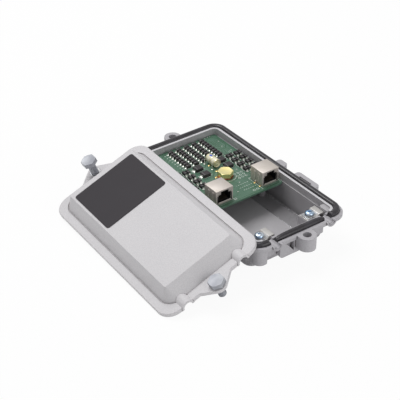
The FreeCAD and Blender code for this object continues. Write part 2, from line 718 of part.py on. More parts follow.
def draw_half_disc(sketch, x, z, radius, side):
    """A half disc below (side -1) or above (side 1) a level line."""
    cx, cz, r = number(x), number(z), number(radius)
    circle = Part.Circle(Vector(cx, cz), Vector(0, 0, 1), r)
    start = 0.0 if side > 0 else math.pi
    first = sketch.addGeometry(Part.ArcOfCircle(circle, start, start + math.pi))
    ends = (Vector(cx + side * r, cz), Vector(cx - side * r, cz))
    line = sketch.addGeometry(Part.LineSegment(ends[1], ends[0]))
    sketch.addConstraint(Sketcher.Constraint("Coincident", first, 2, line, 1))
    sketch.addConstraint(Sketcher.Constraint("Coincident", first, 1, line, 2))
    sketch.addConstraint(Sketcher.Constraint("Horizontal", line))
    pin_point(sketch, first, 3, x, z)
    sketch.addConstraint(Sketcher.Constraint("PointOnObject", first, 3, line))
    index = sketch.addConstraint(Sketcher.Constraint("Radius", first, r))
    sketch.setExpression("Constraints[%d]" % index, fixed(radius).text)


def cut_notches(body, prefix, level, radius, start, depth, side):
    """Half round cable passages along Y, below or above a level."""
    for label, sign in (("Left", -1), ("Right", 1)):
        bore = new_sketch(body, label + prefix + "Outline", start, "XZ_Plane")
        draw_half_disc(bore, size.cable_offset * sign, level, radius, side)
        pocket(body, bore, depth, label + prefix)


def cast_saddles(body):
    """Half round saddles under the cable notches."""
    outer = size.cable_radius + size.saddle_wall
    reach = size.flange_half_length + size.saddle_reach
    for label, sign in (("Left", -1), ("Right", 1)):
        x = size.cable_offset * sign
        saddle = new_sketch(body, label + "SaddleOutline", size.deck_front - 1, "XZ_Plane")
        draw_half_disc(saddle, x, size.flange_top, outer, -1)
        pad(body, saddle, reach - size.deck_front + 1, label + "Saddle")


def cut_inside(body):
    """The tub's inside, the deck level, the entry box and the raised strip of the floor."""
    deck = new_sketch(body, "DeckLevel", size.flange_top)
    draw_outline(deck, -inner_half_width, inner_half_width, -inner_front, inner_rear, inner_corner)
    pocket(body, deck, size.flange_top - size.deck_top, "DeckRecess")
    cavity = new_sketch(body, "CavityOutline", size.deck_top)
    draw_outline(
        cavity, -size.cavity_half_width, size.cavity_half_width,
        -size.tub_front + size.wall_thickness, size.tub_rear - size.wall_thickness, size.cavity_corner,
    )
    pocket(body, cavity, size.deck_top - size.floor_thickness, "Cavity", -size.tub_draft * 0.4)
    entry = box_sketch(
        body, "EntryChamberOutline", size.deck_top,
        clamp_left + crown_end + size.clamp_gap, clamp_right - size.clamp_foot - 0.4,
        -inner_front + size.lip_width / 2, -size.tub_front + size.wall_thickness + 1,
    )
    pocket(body, entry, size.deck_top - size.entry_bottom - size.entry_floor, "EntryChamber")
    strip = box_sketch(
        body, "StripOutline", size.floor_thickness - 0.2,
        -size.panel_half_width, size.panel_half_width,
        -size.tub_front + size.wall_thickness - 0.5, size.tub_rear - size.wall_thickness,
    )
    pad(body, strip, size.panel_rise + 0.2, "FloorStrip")


def cast_inside(body):
    """Board posts, clamp pedestals and the solid corner pad."""
    inset = size.post_inset
    spots = (
        (-size.board_half_width + inset, -size.board_front + size.post_setback),
        (size.board_half_width - inset, -size.board_front + size.post_setback),
        (-size.board_half_width + inset, size.board_rear - inset),
        (size.board_half_width - inset, size.board_rear - inset),
        (size.ground_x, size.ground_y),
    )
    posts = new_sketch(body, "PostOutlines", size.floor_thickness - 1)
    for index, (x, y) in enumerate(spots):
        radius = size.post_radius if index < 4 else size.post_radius + 1
        draw_circle(posts, x, y, radius)
    pad(body, posts, post_height - size.floor_thickness + 1, "Posts")
    stud = new_sketch(body, "StudHoleOutline", post_height)
    draw_circle(stud, size.ground_x, size.ground_y, size.ground_shank + size.bolt_clearance)
    pocket(body, stud, size.ground_grip, "StudHole")
    for label, x in (("Left", clamp_left), ("Right", clamp_right)):
        outline = box_sketch(
            body, label + "PedestalOutline", size.floor_thickness - 1,
            x - size.clamp_foot - 0.4, x + size.clamp_ramp, -size.tub_front + 1, -size.pedestal_rear,
        )
        pad(body, outline, size.deck_top - size.floor_thickness + 1, label + "Pedestal")
        depth = size.screw_length + size.screw_floor + 1
        boss = new_sketch(body, label + "BossOutline", size.deck_top - depth)
        draw_circle(boss, x, -size.clamp_line, size.screw_radius + size.screw_wall)
        pad(body, boss, depth - size.deck_thickness + 1, label + "Boss")
        hole = new_sketch(body, label + "ScrewHoleOutline", size.deck_top)
        draw_circle(hole, x, -size.clamp_line, size.screw_radius + size.bolt_clearance)
        pocket(body, hole, size.screw_length + 1, label + "ScrewHole")
    corner = new_sketch(body, "PadOutline", size.deck_top - 1)
    draw_outline(
        corner, size.pad_left, inner_half_width + 0.5,
        -inner_front - 0.5, -size.pad_rear, size.lug_corner * 0.8,
    )
    pad(body, corner, size.flange_top - size.deck_top + 1, "CornerPad")


def cut_troughs(body):
    """Cable troughs from the notches to the tub, passing under the clamps."""
    for label, x, notch in (("Left", clamp_left, -size.cable_offset), ("Right", clamp_right, size.cable_offset)):
        middle = x + crown_middle
        half = size.trough_half_width
        sketch = new_sketch(body, label + "TroughOutline", size.deck_top)
        draw_polygon(sketch, (
            (notch - half, -inner_front + 0.2), (notch + half, -inner_front + 0.2),
            (middle + half, -size.clamp_line - size.clamp_width / 2),
            (middle + half, -size.pedestal_rear + 2), (middle - half, -size.pedestal_rear + 2),
            (middle - half, -size.clamp_line - size.clamp_width / 2),
        ))
        pocket(body, sketch, size.trough_depth, label + "Trough")


def cast_lip(body):
    """The raised lip inside the seal, open along the cable end."""
    ring = ring_sketch(
        body, "LipOutline", size.flange_top - 0.5,
        size.lip_half_width, size.lip_front, size.lip_rear, size.lip_corner, size.lip_width,
    )
    pad(body, ring, size.lip_height + 0.5, "Lip")
    gap = size.lip_half_width - size.lip_corner
    opening = box_sketch(
        body, "LipGapOutline", size.flange_top + size.lip_height,
        -gap, gap, -size.lip_front - size.lip_width, -size.lip_front + size.lip_width,
    )
    pocket(body, opening, size.lip_height, "LipGap")


def cut_seal_groove(body):
    """The channel that holds the rubber seal."""
    ring = ring_sketch(
        body, "SealGrooveOutline", size.flange_top,
        seal_half_width, seal_front, seal_rear, seal_corner, size.seal_width + size.seal_gap * 2,
    )
    pocket(body, ring, size.seal_groove, "SealGroove")


def cast_lugs(body):
    """A small lug and a long slotted lug on the right side."""
    bottom = size.lug_top - size.lug_thickness
    root = size.tub_half_width - 1
    for label, rear, length in (("Tab", size.tab_rear, size.tab_length), ("Bar", -size.bar_rear, size.bar_length)):
        outline = new_sketch(body, label + "LugOutline", bottom)
        draw_outline(outline, root, size.lug_reach, rear - length, rear, size.lug_corner)
        pad(body, outline, size.lug_thickness + 0.3, label + "Lug")
    slot = new_sketch(body, "BarSlotOutline", size.lug_top + 0.3)
    middle = -size.bar_rear - size.bar_length / 2
    draw_outline(
        slot, size.flange_half_width + 2.6, size.flange_half_width + 4.6,
        middle - size.bar_slot / 2, middle + size.bar_slot / 2, size.flange_edge,
    )
    pocket(body, slot, size.lug_thickness / 4, "BarSlot")


def make_base():
    """The die cast base, in casting order."""
    body = new_body("base_housing")
    cast_tub(body)
    cast_lugs(body)
    cast_front(body)
    cast_flange(body)
    cast_ears(body)
    cast_saddles(body)
    cut_inside(body)
    cast_inside(body)
    cut_troughs(body)
    cast_lip(body)
    cut_seal_groove(body)
    reach = size.flange_half_length + size.saddle_reach + 1
    cut_notches(body, "Notch", size.flange_top, size.cable_radius, reach, reach - inner_front + 1.5, -1)
    return node(body, "base_housing")


def make_seals():
    """The long seal round the rim and the short one between the notches."""
    notch_edge = size.cable_offset + size.cable_radius + size.seal_end_gap
    notch_inner = size.cable_offset - size.cable_radius - size.seal_end_gap
    top = seal_floor + size.seal_height
    rim = new_body("rim_gasket")
    ring = ring_sketch(
        rim, "SealOutline", seal_floor, seal_half_width, seal_front, seal_rear, seal_corner, size.seal_width,
    )
    bead = pad(rim, ring, size.seal_height, "SealBead")
    bevel_edges(rim, bead, "SealCrown", seal_crown, at_height(top))
    gap = box_sketch(
        rim, "SealGapOutline", top + 1,
        -notch_edge, notch_edge, -seal_front - size.seal_width, -seal_front + size.seal_width,
    )
    pocket(rim, gap, size.seal_height + 2, "SealGap")
    node(rim, "rim_gasket")
    front = new_body("front_gasket")
    strip = box_sketch(
        front, "StripOutline", seal_floor, -notch_inner, notch_inner,
        -seal_front - size.seal_width / 2, -seal_front + size.seal_width / 2,
    )
    bar = pad(front, strip, size.seal_height, "StripBead")

    def long_edge(edge):
        return at_height(top)(edge) and edge.BoundBox.XLength > 5

    bevel_edges(front, bar, "StripCrown", seal_crown, long_edge)
    node(front, "front_gasket")


def loft(body, kind, first, last, name):
    """A straight loft between two sketches."""
    feature = body.newObject("PartDesign::" + kind, name)
    feature.Profile = first
    feature.Sections = [last]
    feature.Ruled = True
    return feature


def cover_flange(body):
    """The cover's flange, its bolt ears and their edge."""
    outline = new_sketch(body, "CoverOutline")
    draw_outline(
        outline, -size.flange_half_width, size.flange_half_width,
        -size.flange_half_length, size.flange_half_length, size.flange_corner,
    )
    plate = pad(body, outline, size.flange_thickness, "CoverPlate")
    bevel_edges(body, plate, "CoverEdge", size.flange_edge, at_height(size.flange_thickness))
    for label, side in (("Front", -1), ("Rear", 1)):
        ear = new_sketch(body, label + "EarOutline")
        draw_flared_ear(ear, size.ear_offset, size.flange_half_length - 1, size.cover_ear, size.cover_ear_root, side)
        pad(body, ear, size.flange_thickness, label + "Ear")


def draw_flared_ear(sketch, middle, root, radius, half_width, side):
    """A tongue whose straight flanks widen towards the flange."""
    r, w = radius.value, half_width.value
    cy, y0 = middle.value, root.value
    apart = math.hypot(w, cy - y0)
    swing = math.atan2(y0 - cy, w) + math.acos(r / apart)
    touch_x, touch_y = r * math.cos(swing), side * (cy + r * math.sin(swing))
    y0, cy = side * y0, side * cy
    sketch.addGeometry(Part.LineSegment(Vector(-w, y0), Vector(w, y0)))
    sketch.addGeometry(Part.LineSegment(Vector(w, y0), Vector(touch_x, touch_y)))
    circle = Part.Circle(Vector(0, cy), Vector(0, 0, 1), r)
    if side > 0:
        arc = Part.ArcOfCircle(circle, swing, math.pi - swing)
    else:
        arc = Part.ArcOfCircle(circle, math.pi + swing, -swing)
    sketch.addGeometry(arc)
    sketch.addGeometry(Part.LineSegment(Vector(-touch_x, touch_y), Vector(-w, y0)))
    first, last = (1, 2) if side > 0 else (2, 1)
    sketch.addConstraint(Sketcher.Constraint("Coincident", 0, 2, 1, 1))
    sketch.addConstraint(Sketcher.Constraint("Tangent", 1, 2, 2, first))
    sketch.addConstraint(Sketcher.Constraint("Tangent", 2, last, 3, 1))
    sketch.addConstraint(Sketcher.Constraint("Coincident", 3, 2, 0, 1))
    pin_point(sketch, 0, 1, -half_width, root * side)
    pin_point(sketch, 1, 1, half_width, root * side)
    pin_point(sketch, 2, 3, 0, middle * side)
    index = sketch.addConstraint(Sketcher.Constraint("Radius", 2, r))
    sketch.setExpression("Constraints[%d]" % index, radius.text)


def cut_dome_groove(body):
    """A fine groove in the flange, round the foot of the dome."""
    ring = new_sketch(body, "DomeGrooveOutline", size.flange_thickness)
    for grow in (size.dome_groove, -size.dome_groove):
        draw_outline(
            ring, -(size.dome_half_width + grow), size.dome_half_width + grow,
            -(size.dome_front + grow), size.dome_rear + grow, size.dome_corner + grow,
        )
    pocket(body, ring, size.dome_groove * 0.6, "DomeGroove")


def cover_dome(body):
    """The dome with sloping sides, hollow underneath."""
    foot = new_sketch(body, "DomeFoot", size.flange_thickness - size.dome_groove)
    draw_outline(
        foot, -size.dome_half_width, size.dome_half_width,
        -size.dome_front, size.dome_rear, size.dome_corner,
    )
    crown = new_sketch(body, "DomeCrown", size.crown_height)
    draw_outline(
        crown, -size.crown_half_width, size.crown_half_width,
        -size.crown_front, size.crown_rear, size.crown_corner,
    )
    loft(body, "AdditiveLoft", foot, crown, "Dome")
    wall = size.cover_wall
    inner_foot = new_sketch(body, "HollowFoot", -0.01)
    draw_outline(
        inner_foot, -(size.dome_half_width - wall * 0.7), size.dome_half_width - wall * 0.7,
        -(size.dome_front - wall * 0.7), size.dome_rear - wall * 0.7, size.dome_corner - wall * 0.7,
    )
    inner_crown = new_sketch(body, "HollowCrown", size.crown_height - wall)
    draw_outline(
        inner_crown, -(size.crown_half_width - wall * 0.5), size.crown_half_width - wall * 0.5,
        -(size.crown_front - wall * 0.5), size.crown_rear - wall * 0.5, size.crown_corner,
    )
    loft(body, "SubtractiveLoft", inner_foot, inner_crown, "Hollow")


def cover_arches(body):
    """Half round arches over the two cable notches."""
    outer = size.arch_radius + size.arch_wall
    start = size.dome_front - size.cover_wall
    for label, sign in (("Left", -1), ("Right", 1)):
        arch = new_sketch(body, label + "ArchOutline", start, "XZ_Plane")
        draw_half_disc(arch, size.cable_offset * sign, 0, outer, 1)
        pad(body, arch, size.flange_half_length + size.arch_reach - start, label + "Arch")


def cover_holes(body):
    """Clearance holes with counterbores for the retaining rings."""
    for label, side in (("Front", -1), ("Rear", 1)):
        middle = size.ear_offset * side
        hole = new_sketch(body, label + "HoleOutline", size.flange_thickness)
        draw_circle(hole, 0, middle, size.cover_hole)
        pocket(body, hole, size.flange_thickness + 1, label + "Hole")
        seat = new_sketch(body, label + "SeatOutline", size.flange_thickness)
        draw_circle(seat, 0, middle, size.retainer_radius + size.bolt_clearance)
        pocket(body, seat, size.retainer_height, label + "Seat")


def make_cover():
    """The domed cover in its own frame, sealing face down at the origin."""
    body = new_body("cover")
    cover_flange(body)
    cut_dome_groove(body)
    cover_arches(body)
    cover_dome(body)
    reach = size.flange_half_length + size.arch_reach + 1
    cut_notches(body, "Passage", 0, size.arch_radius, reach, reach - size.dome_front + size.cover_wall * 2, 1)
    cover_holes(body)
    return node(body, "cover")


def make_label():
    """The plain label plate on the cover's flat top."""
    body = new_body("cover_label")
    outline = new_sketch(body, "LabelOutline", size.crown_height)
    draw_outline(
        outline, -size.label_half_width, size.label_half_width,
        size.label_front, size.label_rear, size.label_corner,
    )
    pad(body, outline, size.label_thickness, "LabelPlate")
    return node(body, "cover_label")


def make_bolt(name, side, lift):
    """A hexagon bolt through an ear of the cover; lift is how far it is drawn up."""
    y = size.ear_offset * side
    seat = size.flange_thickness + lift
    head = prism(name + "_hexagon", (0, y, seat), size.bolt_head_flats, size.bolt_head_height)
    bevel = cone(
        name + "_bevel", (0, y, seat), size.bolt_head_flats * 0.5 + size.bolt_head_height * 0.62 * 1.75,
        size.bolt_head_flats * 0.5, size.bolt_head_height + 0.01,
    )
    crown = common(name + "_head", head, bevel)
    shank = rod(name + "_shank", (0, y, seat - size.bolt_length + size.bolt_tip), size.bolt_radius, size.bolt_length - size.bolt_tip)
    tip = cone(
        name + "_tip", (0, y, seat - size.bolt_length),
        size.bolt_radius - size.bolt_tip, size.bolt_radius, size.bolt_tip,
    )
    return node(fuse(name, crown, shank, tip), name)


def make_retainer(name, side):
    """The ring in an ear's counterbore that keeps the bolt captive."""
    low = size.flange_thickness - size.retainer_height
    outer = rod(name + "_outside", (0, size.ear_offset * side, low), size.retainer_radius, size.retainer_height)
    inner = rod(
        name + "_inside", (0, size.ear_offset * side, low - 1),
        size.bolt_radius + size.bolt_clearance, size.retainer_height + 2,
    )
    return node(cut(name, outer, inner), name)


def lean_placement():
    """Where the cover lies: its lowest corner on the bench, its underside on the seal."""
    bead_x = -(seal_half_width + size.seal_width / 2 - seal_crown).value
    bead_z = (seal_floor + size.seal_height).value
    gap = size.rest_gap.value
    tilt = 0.0
    for _ in range(20):
        tilt = math.atan2(bead_z + gap * math.cos(tilt), size.cover_reach.value)
    turn = math.radians(size.cover_turn.value)
    corner = size.flange_corner.value
    across = (size.flange_half_width.value - corner) * math.cos(turn) + corner
    across += (size.flange_half_length.value - corner) * math.sin(turn)
    low_x = bead_x - gap * math.sin(tilt) - size.cover_reach.value
    centre = Vector(low_x + across * math.cos(tilt), size.cover_shift.value, across * math.sin(tilt))
    lean = FreeCAD.Rotation(Vector(0, 1, 0), -math.degrees(tilt))
    spin = FreeCAD.Rotation(Vector(0, 0, 1), -size.cover_turn.value)
    return FreeCAD.Placement(centre, lean.multiply(spin))


def make_board():
    """The circuit board with a hole for the ground stud."""
    body = new_body("circuit_board")
    outline = new_sketch(body, "BoardOutline", post_height)
    draw_outline(
        outline, -size.board_half_width, size.board_half_width,
        -size.board_front, size.board_rear, size.board_corner,
    )
    draw_circle(outline, size.ground_x, size.ground_y, size.ground_shank + size.bolt_clearance)
    pad(body, outline, size.board_thickness, "BoardPlate")
    return node(body, "circuit_board")


def make_ground():
    """The brass ground stud and the copper ring under its head."""
    place = (size.ground_x, size.ground_y)
    seat = size.board_top + size.ring_thickness
    head = prism("ground_hexagon", place + (seat,), size.ground_flats, size.ground_height)
    bevel = cone(
        "ground_bevel", place + (seat,), size.ground_flats * 0.5 + size.ground_height,
        size.ground_flats * 0.49, size.ground_height + 0.01,
    )
    crown = common("ground_head", head, bevel)
    length = size.ground_grip + size.ring_thickness + size.board_thickness - 0.6
    shank = rod("ground_shank_rod", place + (seat - length,), size.ground_shank, length)
    node(fuse("ground_bolt", crown, shank), "ground_bolt")
    disc = rod("ground_disc", place + (size.board_top,), size.ring_radius, size.ring_thickness)
    bore = rod(
        "ground_bore", place + (size.board_top - 1,),
        size.ground_shank + size.bolt_clearance, size.ring_thickness + 2,
    )
    node(cut("ground_ring", disc, bore), "ground_ring")


def socket_cutter(name, x, start, depth):
    """The stepped plug opening: a wide lower part and a narrow latch notch."""
    low = size.board_top + size.socket_sill
    lower = block(
        name + "_lower", (x - size.socket_width / 2, start, low),
        (size.socket_width, depth, size.socket_height),
    )
    upper = block(
        name + "_upper", (x - size.latch_width / 2, start, low + size.socket_height - 0.01),
        (size.latch_width, depth, size.latch_height + 0.01),
    )
    return fuse(name, lower, upper)


def make_jack(name, x):
    """One modular jack: folded shield, moulded insert and eight contacts."""
    t = size.shield_thickness
    front = size.jack_face
    low = size.board_top
    shell = block(
        name + "_shell", (x - size.jack_width / 2, front, low),
        (size.jack_width, size.jack_depth, size.jack_height),
    )
    inside = block(
        name + "_shell_inside", (x - size.jack_width / 2 + t, front + t, low - 1),
        (size.jack_width - t * 2, size.jack_depth - t * 2, size.jack_height - t + 1),
    )
    folded = cut(name + "_folded", shell, inside)
    mouth = socket_cutter(name + "_mouth", x, front - 1, t + 2)
    node(cut(name + "_shield", folded, mouth), name + "_shield")
    core = block(
        name + "_core", (x - size.jack_width / 2 + t, front + t, low),
        (size.jack_width - t * 2, size.jack_depth - t * 2, size.jack_height - t),
    )
    cavity = socket_cutter(name + "_cavity", x, front, size.socket_depth)
    node(cut(name + "_insert", core, cavity), name + "_insert")
    make_contacts(name + "_contacts", x, front + t + size.contact_inset, low + size.socket_sill)


def axis_line(body, role):
    """One of a body's own origin axes."""
    return [line for line in body.Origin.OriginFeatures if line.Role == role][0]


def repeat(body, feature, name, steps):
    """Repeat a feature along X and Y; each step is a role, a copy count, a total span and its sign."""
    pattern = body.newObject("PartDesign::MultiTransform", name)
    pattern.Originals = [feature]
    lines = []
    for index, (role, copies, span, sign) in enumerate(steps):
        line = body.newObject("PartDesign::LinearPattern", "%sStep%d" % (name, index + 1))
        line.Direction = (axis_line(body, role), [""])
        line.Occurrences = copies
        line.Reversed = sign < 0
        bind(line, Length=span)
        lines.append(line)
    pattern.Transformations = lines
    body.Tip = pattern
    return pattern


def make_contacts(name, x, start, low):
    """Eight flat springs that rise from the sill towards the back of the socket."""
    body = new_body(name)
    t = size.contact_width
    first = x - size.contact_pitch * 3.5 - t / 2
    end = start + size.socket_depth - size.contact_inset * 2
    rise = size.socket_height * 0.62
    profile = new_sketch(body, "SpringProfile", first, "YZ_Plane")
    draw_polygon(profile, ((start, low + t), (end, low + t + rise), (end, low + t * 2 + rise), (start, low + t * 2)))
    spring = pad(body, profile, t, "Spring")
    repeat(body, spring, "Springs", (("X_Axis", 8, size.contact_pitch * 7, 1),))
    node(body, name)


def make_bank(name, place, package, lead, steps, along_x):
    """A bank of tapered packages and the bank of their leads, one node each."""
    x, y = place
    length, width, height, span = package
    lead_width, lead_height = lead
    base = size.board_top + size.diode_skirt
    half_x, half_y = (length / 2, width / 2) if along_x else (width / 2, length / 2)
    bodies = new_body(name + "_bodies")
    outline = box_sketch(bodies, "PackageOutline", base, x - half_x, x + half_x, y - half_y, y + half_y)
    moulding = pad(bodies, outline, height, "Package", -size.diode_taper)
    repeat(bodies, moulding, "Packages", steps)
    node(bodies, name + "_bodies")
    leads = new_body(name + "_leads")
    tabs = new_sketch(leads, "LeadOutline", size.board_top)
    for sign in (-1, 1):
        near, far = length / 2 * sign, span / 2 * sign
        if sign < 0:
            near, far = far, near
        if along_x:
            corners = (x + near, x + far, y - lead_width / 2, y + lead_width / 2)
        else:
            corners = (x - lead_width / 2, x + lead_width / 2, y + near, y + far)
        left, right, front, rear = corners
        draw_polygon(tabs, ((left, front), (right, front), (right, rear), (left, rear)))
    tab = pad(leads, tabs, lead_height, "Lead")
    repeat(leads, tab, "Leads", steps)
    node(leads, name + "_leads")


def make_banks():
    """The rear bank, the two side banks and the large diodes beside the gas tube."""
    small = (size.diode_length, size.diode_width, size.diode_height, size.diode_span)
    thin = (size.diode_lead_width, size.diode_lead_height)
    make_bank("rear_diode", (-size.bank_left, size.bank_rear), small, thin, (
        ("X_Axis", 5, size.bank_pitch * 4, 1),
        ("Y_Axis", 4, size.bank_row_pitch * 3, -1),
        ("Y_Axis", 2, size.bank_group_gap, -1),
    ), True)
    for name, x, sign in (
        ("left_diode", -size.pair_left + size.pair_pitch, -1),
        ("right_diode", size.pair_right, 1),
    ):
        make_bank(name, (x, size.pair_rear), small, thin, (
            ("X_Axis", 2, size.pair_pitch, sign),
            ("X_Axis", 2, size.pair_group_pitch, sign),
            ("Y_Axis", 4, size.pair_row_pitch * 3, -1),
        ), False)
    large = (size.power_length, size.power_width, size.power_height, size.power_span)
    wide = (size.power_lead_width, size.power_lead_height)
    make_bank("power_diode", (-size.power_left, size.power_rear), large, wide, (
        ("X_Axis", 2, size.power_left + size.power_right, 1),
        ("Y_Axis", 2, size.power_pitch, -1),
    ), True)


def make_gas_tube():
    """The gas discharge tube: ceramic barrel, end caps and lead wires."""
    axis = Vector(0, 1, 0)
    level = size.board_top + size.tube_lift + size.tube_radius
    start = size.tube_y - size.tube_length / 2
    barrel_length = size.tube_length - size.tube_cap * 2
    barrel = rod("gas_tube_rod", (size.tube_x, start + size.tube_cap, level), size.tube_radius, barrel_length, axis)
    groove_start = size.tube_y - size.tube_cap * 0.3
    band = rod("gas_tube_band", (size.tube_x, groove_start, level), size.tube_radius + 1, size.tube_cap * 0.6, axis)
    core = rod("gas_tube_core", (size.tube_x, groove_start - 1, level), size.tube_radius * 0.92, size.tube_cap * 0.6 + 2, axis)
    waist = cut("gas_tube_waist", band, core)
    node(cut("gas_tube_body", barrel, waist), "gas_tube_body")
    caps = [
        rod(
            "gas_tube_cap_%d" % (index + 1), (size.tube_x, place, level),
            size.tube_radius * 0.96, size.tube_cap, axis,
        )
        for index, place in enumerate((start, start + size.tube_length - size.tube_cap))
    ]
    node(group("gas_tube_caps", *caps), "gas_tube_caps")
    wires = []
    for index, place in enumerate((start + size.tube_cap / 2, start + size.tube_length - size.tube_cap / 2)):
        wires.append(rod(
            "gas_tube_wire_%d" % (index + 1), (size.tube_x - size.tube_radius - size.tube_lead, place, size.board_top),
            size.tube_lead, size.tube_radius + size.tube_lift, Vector(0, 0, 1),
        ))
    node(group("gas_tube_leads", *wires), "gas_tube_leads")


def make_clamp(name, x):
    """A bent strap: flat foot, ramp and crown over the cable trough."""
    body = new_body(name)
    sketch = new_sketch(body, "StrapProfile", size.clamp_line - size.clamp_width / 2, "XZ_Plane")
    t = size.clamp_thickness
    low = size.deck_top
    foot = x - size.clamp_foot
    ramp = x + size.clamp_ramp
    crown = ramp + size.clamp_run
    end = crown + size.clamp_crown
    draw_polygon(sketch, (
        (foot, low), (ramp + t * 0.4, low), (crown + t * 0.4, low + size.clamp_rise - t),
        (end - t, low + size.clamp_rise - t), (end - t, low + 0.3), (end, low + 0.3),
        (end, low + size.clamp_rise - t * 0.4), (end - t * 0.6, low + size.clamp_rise),
        (crown, low + size.clamp_rise), (ramp, low + t), (foot, low + t),
    ))
    pad(body, sketch, size.clamp_width, "Strap")
    hole = new_sketch(body, "StrapHole", low + t)
    draw_circle(hole, x, -size.clamp_line, size.screw_radius + size.bolt_clearance)
    pocket(body, hole, t + 1, "StrapBore")
    return node(body, name)


def make_clamp_fasteners():
    """Square washers, split washers and pan head screws of both clamps."""
    squares, splits, screws = [], [], []
    bore = size.screw_radius + size.bolt_clearance
    for label, x in (("left", clamp_left), ("right", clamp_right)):
        y = -size.clamp_line
        low = size.deck_top + size.clamp_thickness
        half = size.washer_side / 2
        plate = block(
            "square_plate_" + label, (x - size.clamp_foot + 0.5, y - half, low),
            (size.washer_side - 1.0, size.washer_side, size.washer_thickness),
        )
        plate_bore = rod("square_bore_" + label, (x, y, low - 1), bore, size.washer_thickness + 2)
        squares.append(cut("square_" + label, plate, plate_bore))
        level = low + size.washer_thickness
        disc = rod("split_disc_" + label, (x, y, level), size.spring_washer_radius, size.spring_washer_thickness)
        disc_bore = rod("split_bore_" + label, (x, y, level - 1), bore, size.spring_washer_thickness + 2)
        slit = block(
            "split_slit_" + label, (x, y + 1, level - 1), (0.5, 5, size.spring_washer_thickness + 2),
        )
        splits.append(cut("split_" + label, cut("split_ring_" + label, disc, disc_bore), slit))
        seat = level + size.spring_washer_thickness
        skirt = size.screw_head_height * 0.55
        collar = rod("screw_collar_" + label, (x, y, seat), size.screw_head_radius, skirt)
        dome = cone(
            "screw_dome_" + label, (x, y, seat + skirt), size.screw_head_radius,
            size.screw_head_radius * 0.72, size.screw_head_height - skirt,
        )
        head = fuse("screw_pan_" + label, collar, dome)
        shank_length = size.screw_length + size.clamp_thickness
        shank = rod("screw_shank_" + label, (x, y, seat - shank_length), size.screw_radius, shank_length)
        blank = fuse("screw_blank_" + label, head, shank)
        arm = size.screw_head_radius * 1.1
        recess_low = seat + size.screw_head_height - 1.2
        slot_a = block(
            "screw_slot_a_" + label, (x - arm / 2, y - size.screw_slot / 2, recess_low), (arm, size.screw_slot, 3),
        )
        slot_b = block(
            "screw_slot_b_" + label, (x - size.screw_slot / 2, y - arm / 2, recess_low), (size.screw_slot, arm, 3),
        )
        screws.append(cut("screw_" + label, blank, fuse("screw_recess_" + label, slot_a, slot_b)))
    node(group("clamp_square_washers", *squares), "clamp_square_washers")
    node(group("clamp_split_washers", *splits), "clamp_split_washers")
    node(group("clamp_screws", *screws), "clamp_screws")


def build():
    """Make every sub-part, then lay the cover group against the base."""
    make_base()
    make_seals()
    make_board()
    make_ground()
    make_jack("jack_left", -size.jack_left_place)
    make_jack("jack_right", size.jack_right_place)
    make_banks()
    make_gas_tube()
    make_clamp("cable_clamp_left", clamp_left)
    make_clamp("cable_clamp_right", clamp_right)
    make_clamp_fasteners()
    leaning = [
        make_cover(),
        make_label(),
        make_retainer("bolt_retainer_front", -1),
        make_retainer("bolt_retainer_rear", 1),
        make_bolt("cover_bolt_front", -1, fixed(0.1)),
        make_bolt("cover_bolt_rear", 1, size.bolt_travel),
    ]
    doc.recompute()
    lean = lean_placement()
    for item in leaning:
        item.Placement = lean.multiply(item.Placement)
    doc.recompute()


def check_and_export():
    """Refuse failed features, then write one file for each sub-part."""
    for item in doc.Objects:
        if "Invalid" in item.State or "Error" in item.State:
            raise RuntimeError("%s failed: %s" % (item.Name, item.State))
    for item in nodes:
        if item.Shape.isNull() or not item.Shape.isValid():
            raise RuntimeError("%s has no valid shape" % item.Label)
    os.makedirs("parts", exist_ok=True)
    for item in nodes:
        item.Shape.exportStep(os.path.join("parts", item.Label + ".step"))
        box = item.Shape.BoundBox
        print("%-24s %3d solids %9.1f mm3  x %.1f %.1f  y %.1f %.1f  z %.1f %.1f" % (
            item.Label, len(item.Shape.Solids), item.Shape.Volume,
            box.XMin, box.XMax, box.YMin, box.YMax, box.ZMin, box.ZMax,
        ))


build()
check_and_export()
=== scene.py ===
# %% [markdown]
# # An opened network surge protector
#
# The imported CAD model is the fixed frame: every node already lies where it belongs.
# This lesson dresses it. The two die castings keep their CAD shape and get smooth
# shading and a grained paint. Small parts that live from their detail, such as bolts,
# screws, diodes and the rubber seal, are modelled again over their CAD nodes.
# All lengths are metres, the base stands on z = 0, and the cable end faces minus y.

# %% Load the frame
import bmesh
import bpy
import math
from mathutils import Matrix, Vector


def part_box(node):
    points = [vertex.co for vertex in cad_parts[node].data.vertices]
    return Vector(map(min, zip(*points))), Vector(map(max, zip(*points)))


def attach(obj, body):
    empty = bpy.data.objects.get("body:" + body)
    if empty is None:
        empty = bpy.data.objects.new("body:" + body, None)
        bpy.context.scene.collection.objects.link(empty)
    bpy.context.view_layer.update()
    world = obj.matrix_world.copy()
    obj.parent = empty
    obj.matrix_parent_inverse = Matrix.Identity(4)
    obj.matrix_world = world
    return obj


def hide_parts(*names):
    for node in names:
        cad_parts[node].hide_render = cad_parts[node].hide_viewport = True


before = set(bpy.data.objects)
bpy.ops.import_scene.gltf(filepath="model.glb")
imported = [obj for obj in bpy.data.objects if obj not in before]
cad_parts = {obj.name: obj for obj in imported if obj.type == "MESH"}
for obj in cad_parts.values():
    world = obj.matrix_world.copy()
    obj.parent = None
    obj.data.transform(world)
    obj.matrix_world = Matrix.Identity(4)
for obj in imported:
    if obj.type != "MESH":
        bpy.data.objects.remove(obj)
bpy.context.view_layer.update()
MM = 0.001


def mm(*values):
    """Millimetres as metres."""
    return tuple(value * MM for value in values)


# %% [markdown]
# ## Shader building blocks
#
# A material is a small network of nodes. A few helpers keep the networks readable:
# one adds a node, one does arithmetic, one mixes colours and one makes a soft step.
# Recipes that several finishes share become node groups with named inputs, so that
# the same grain can be coarse on a casting and fine on a plated part.

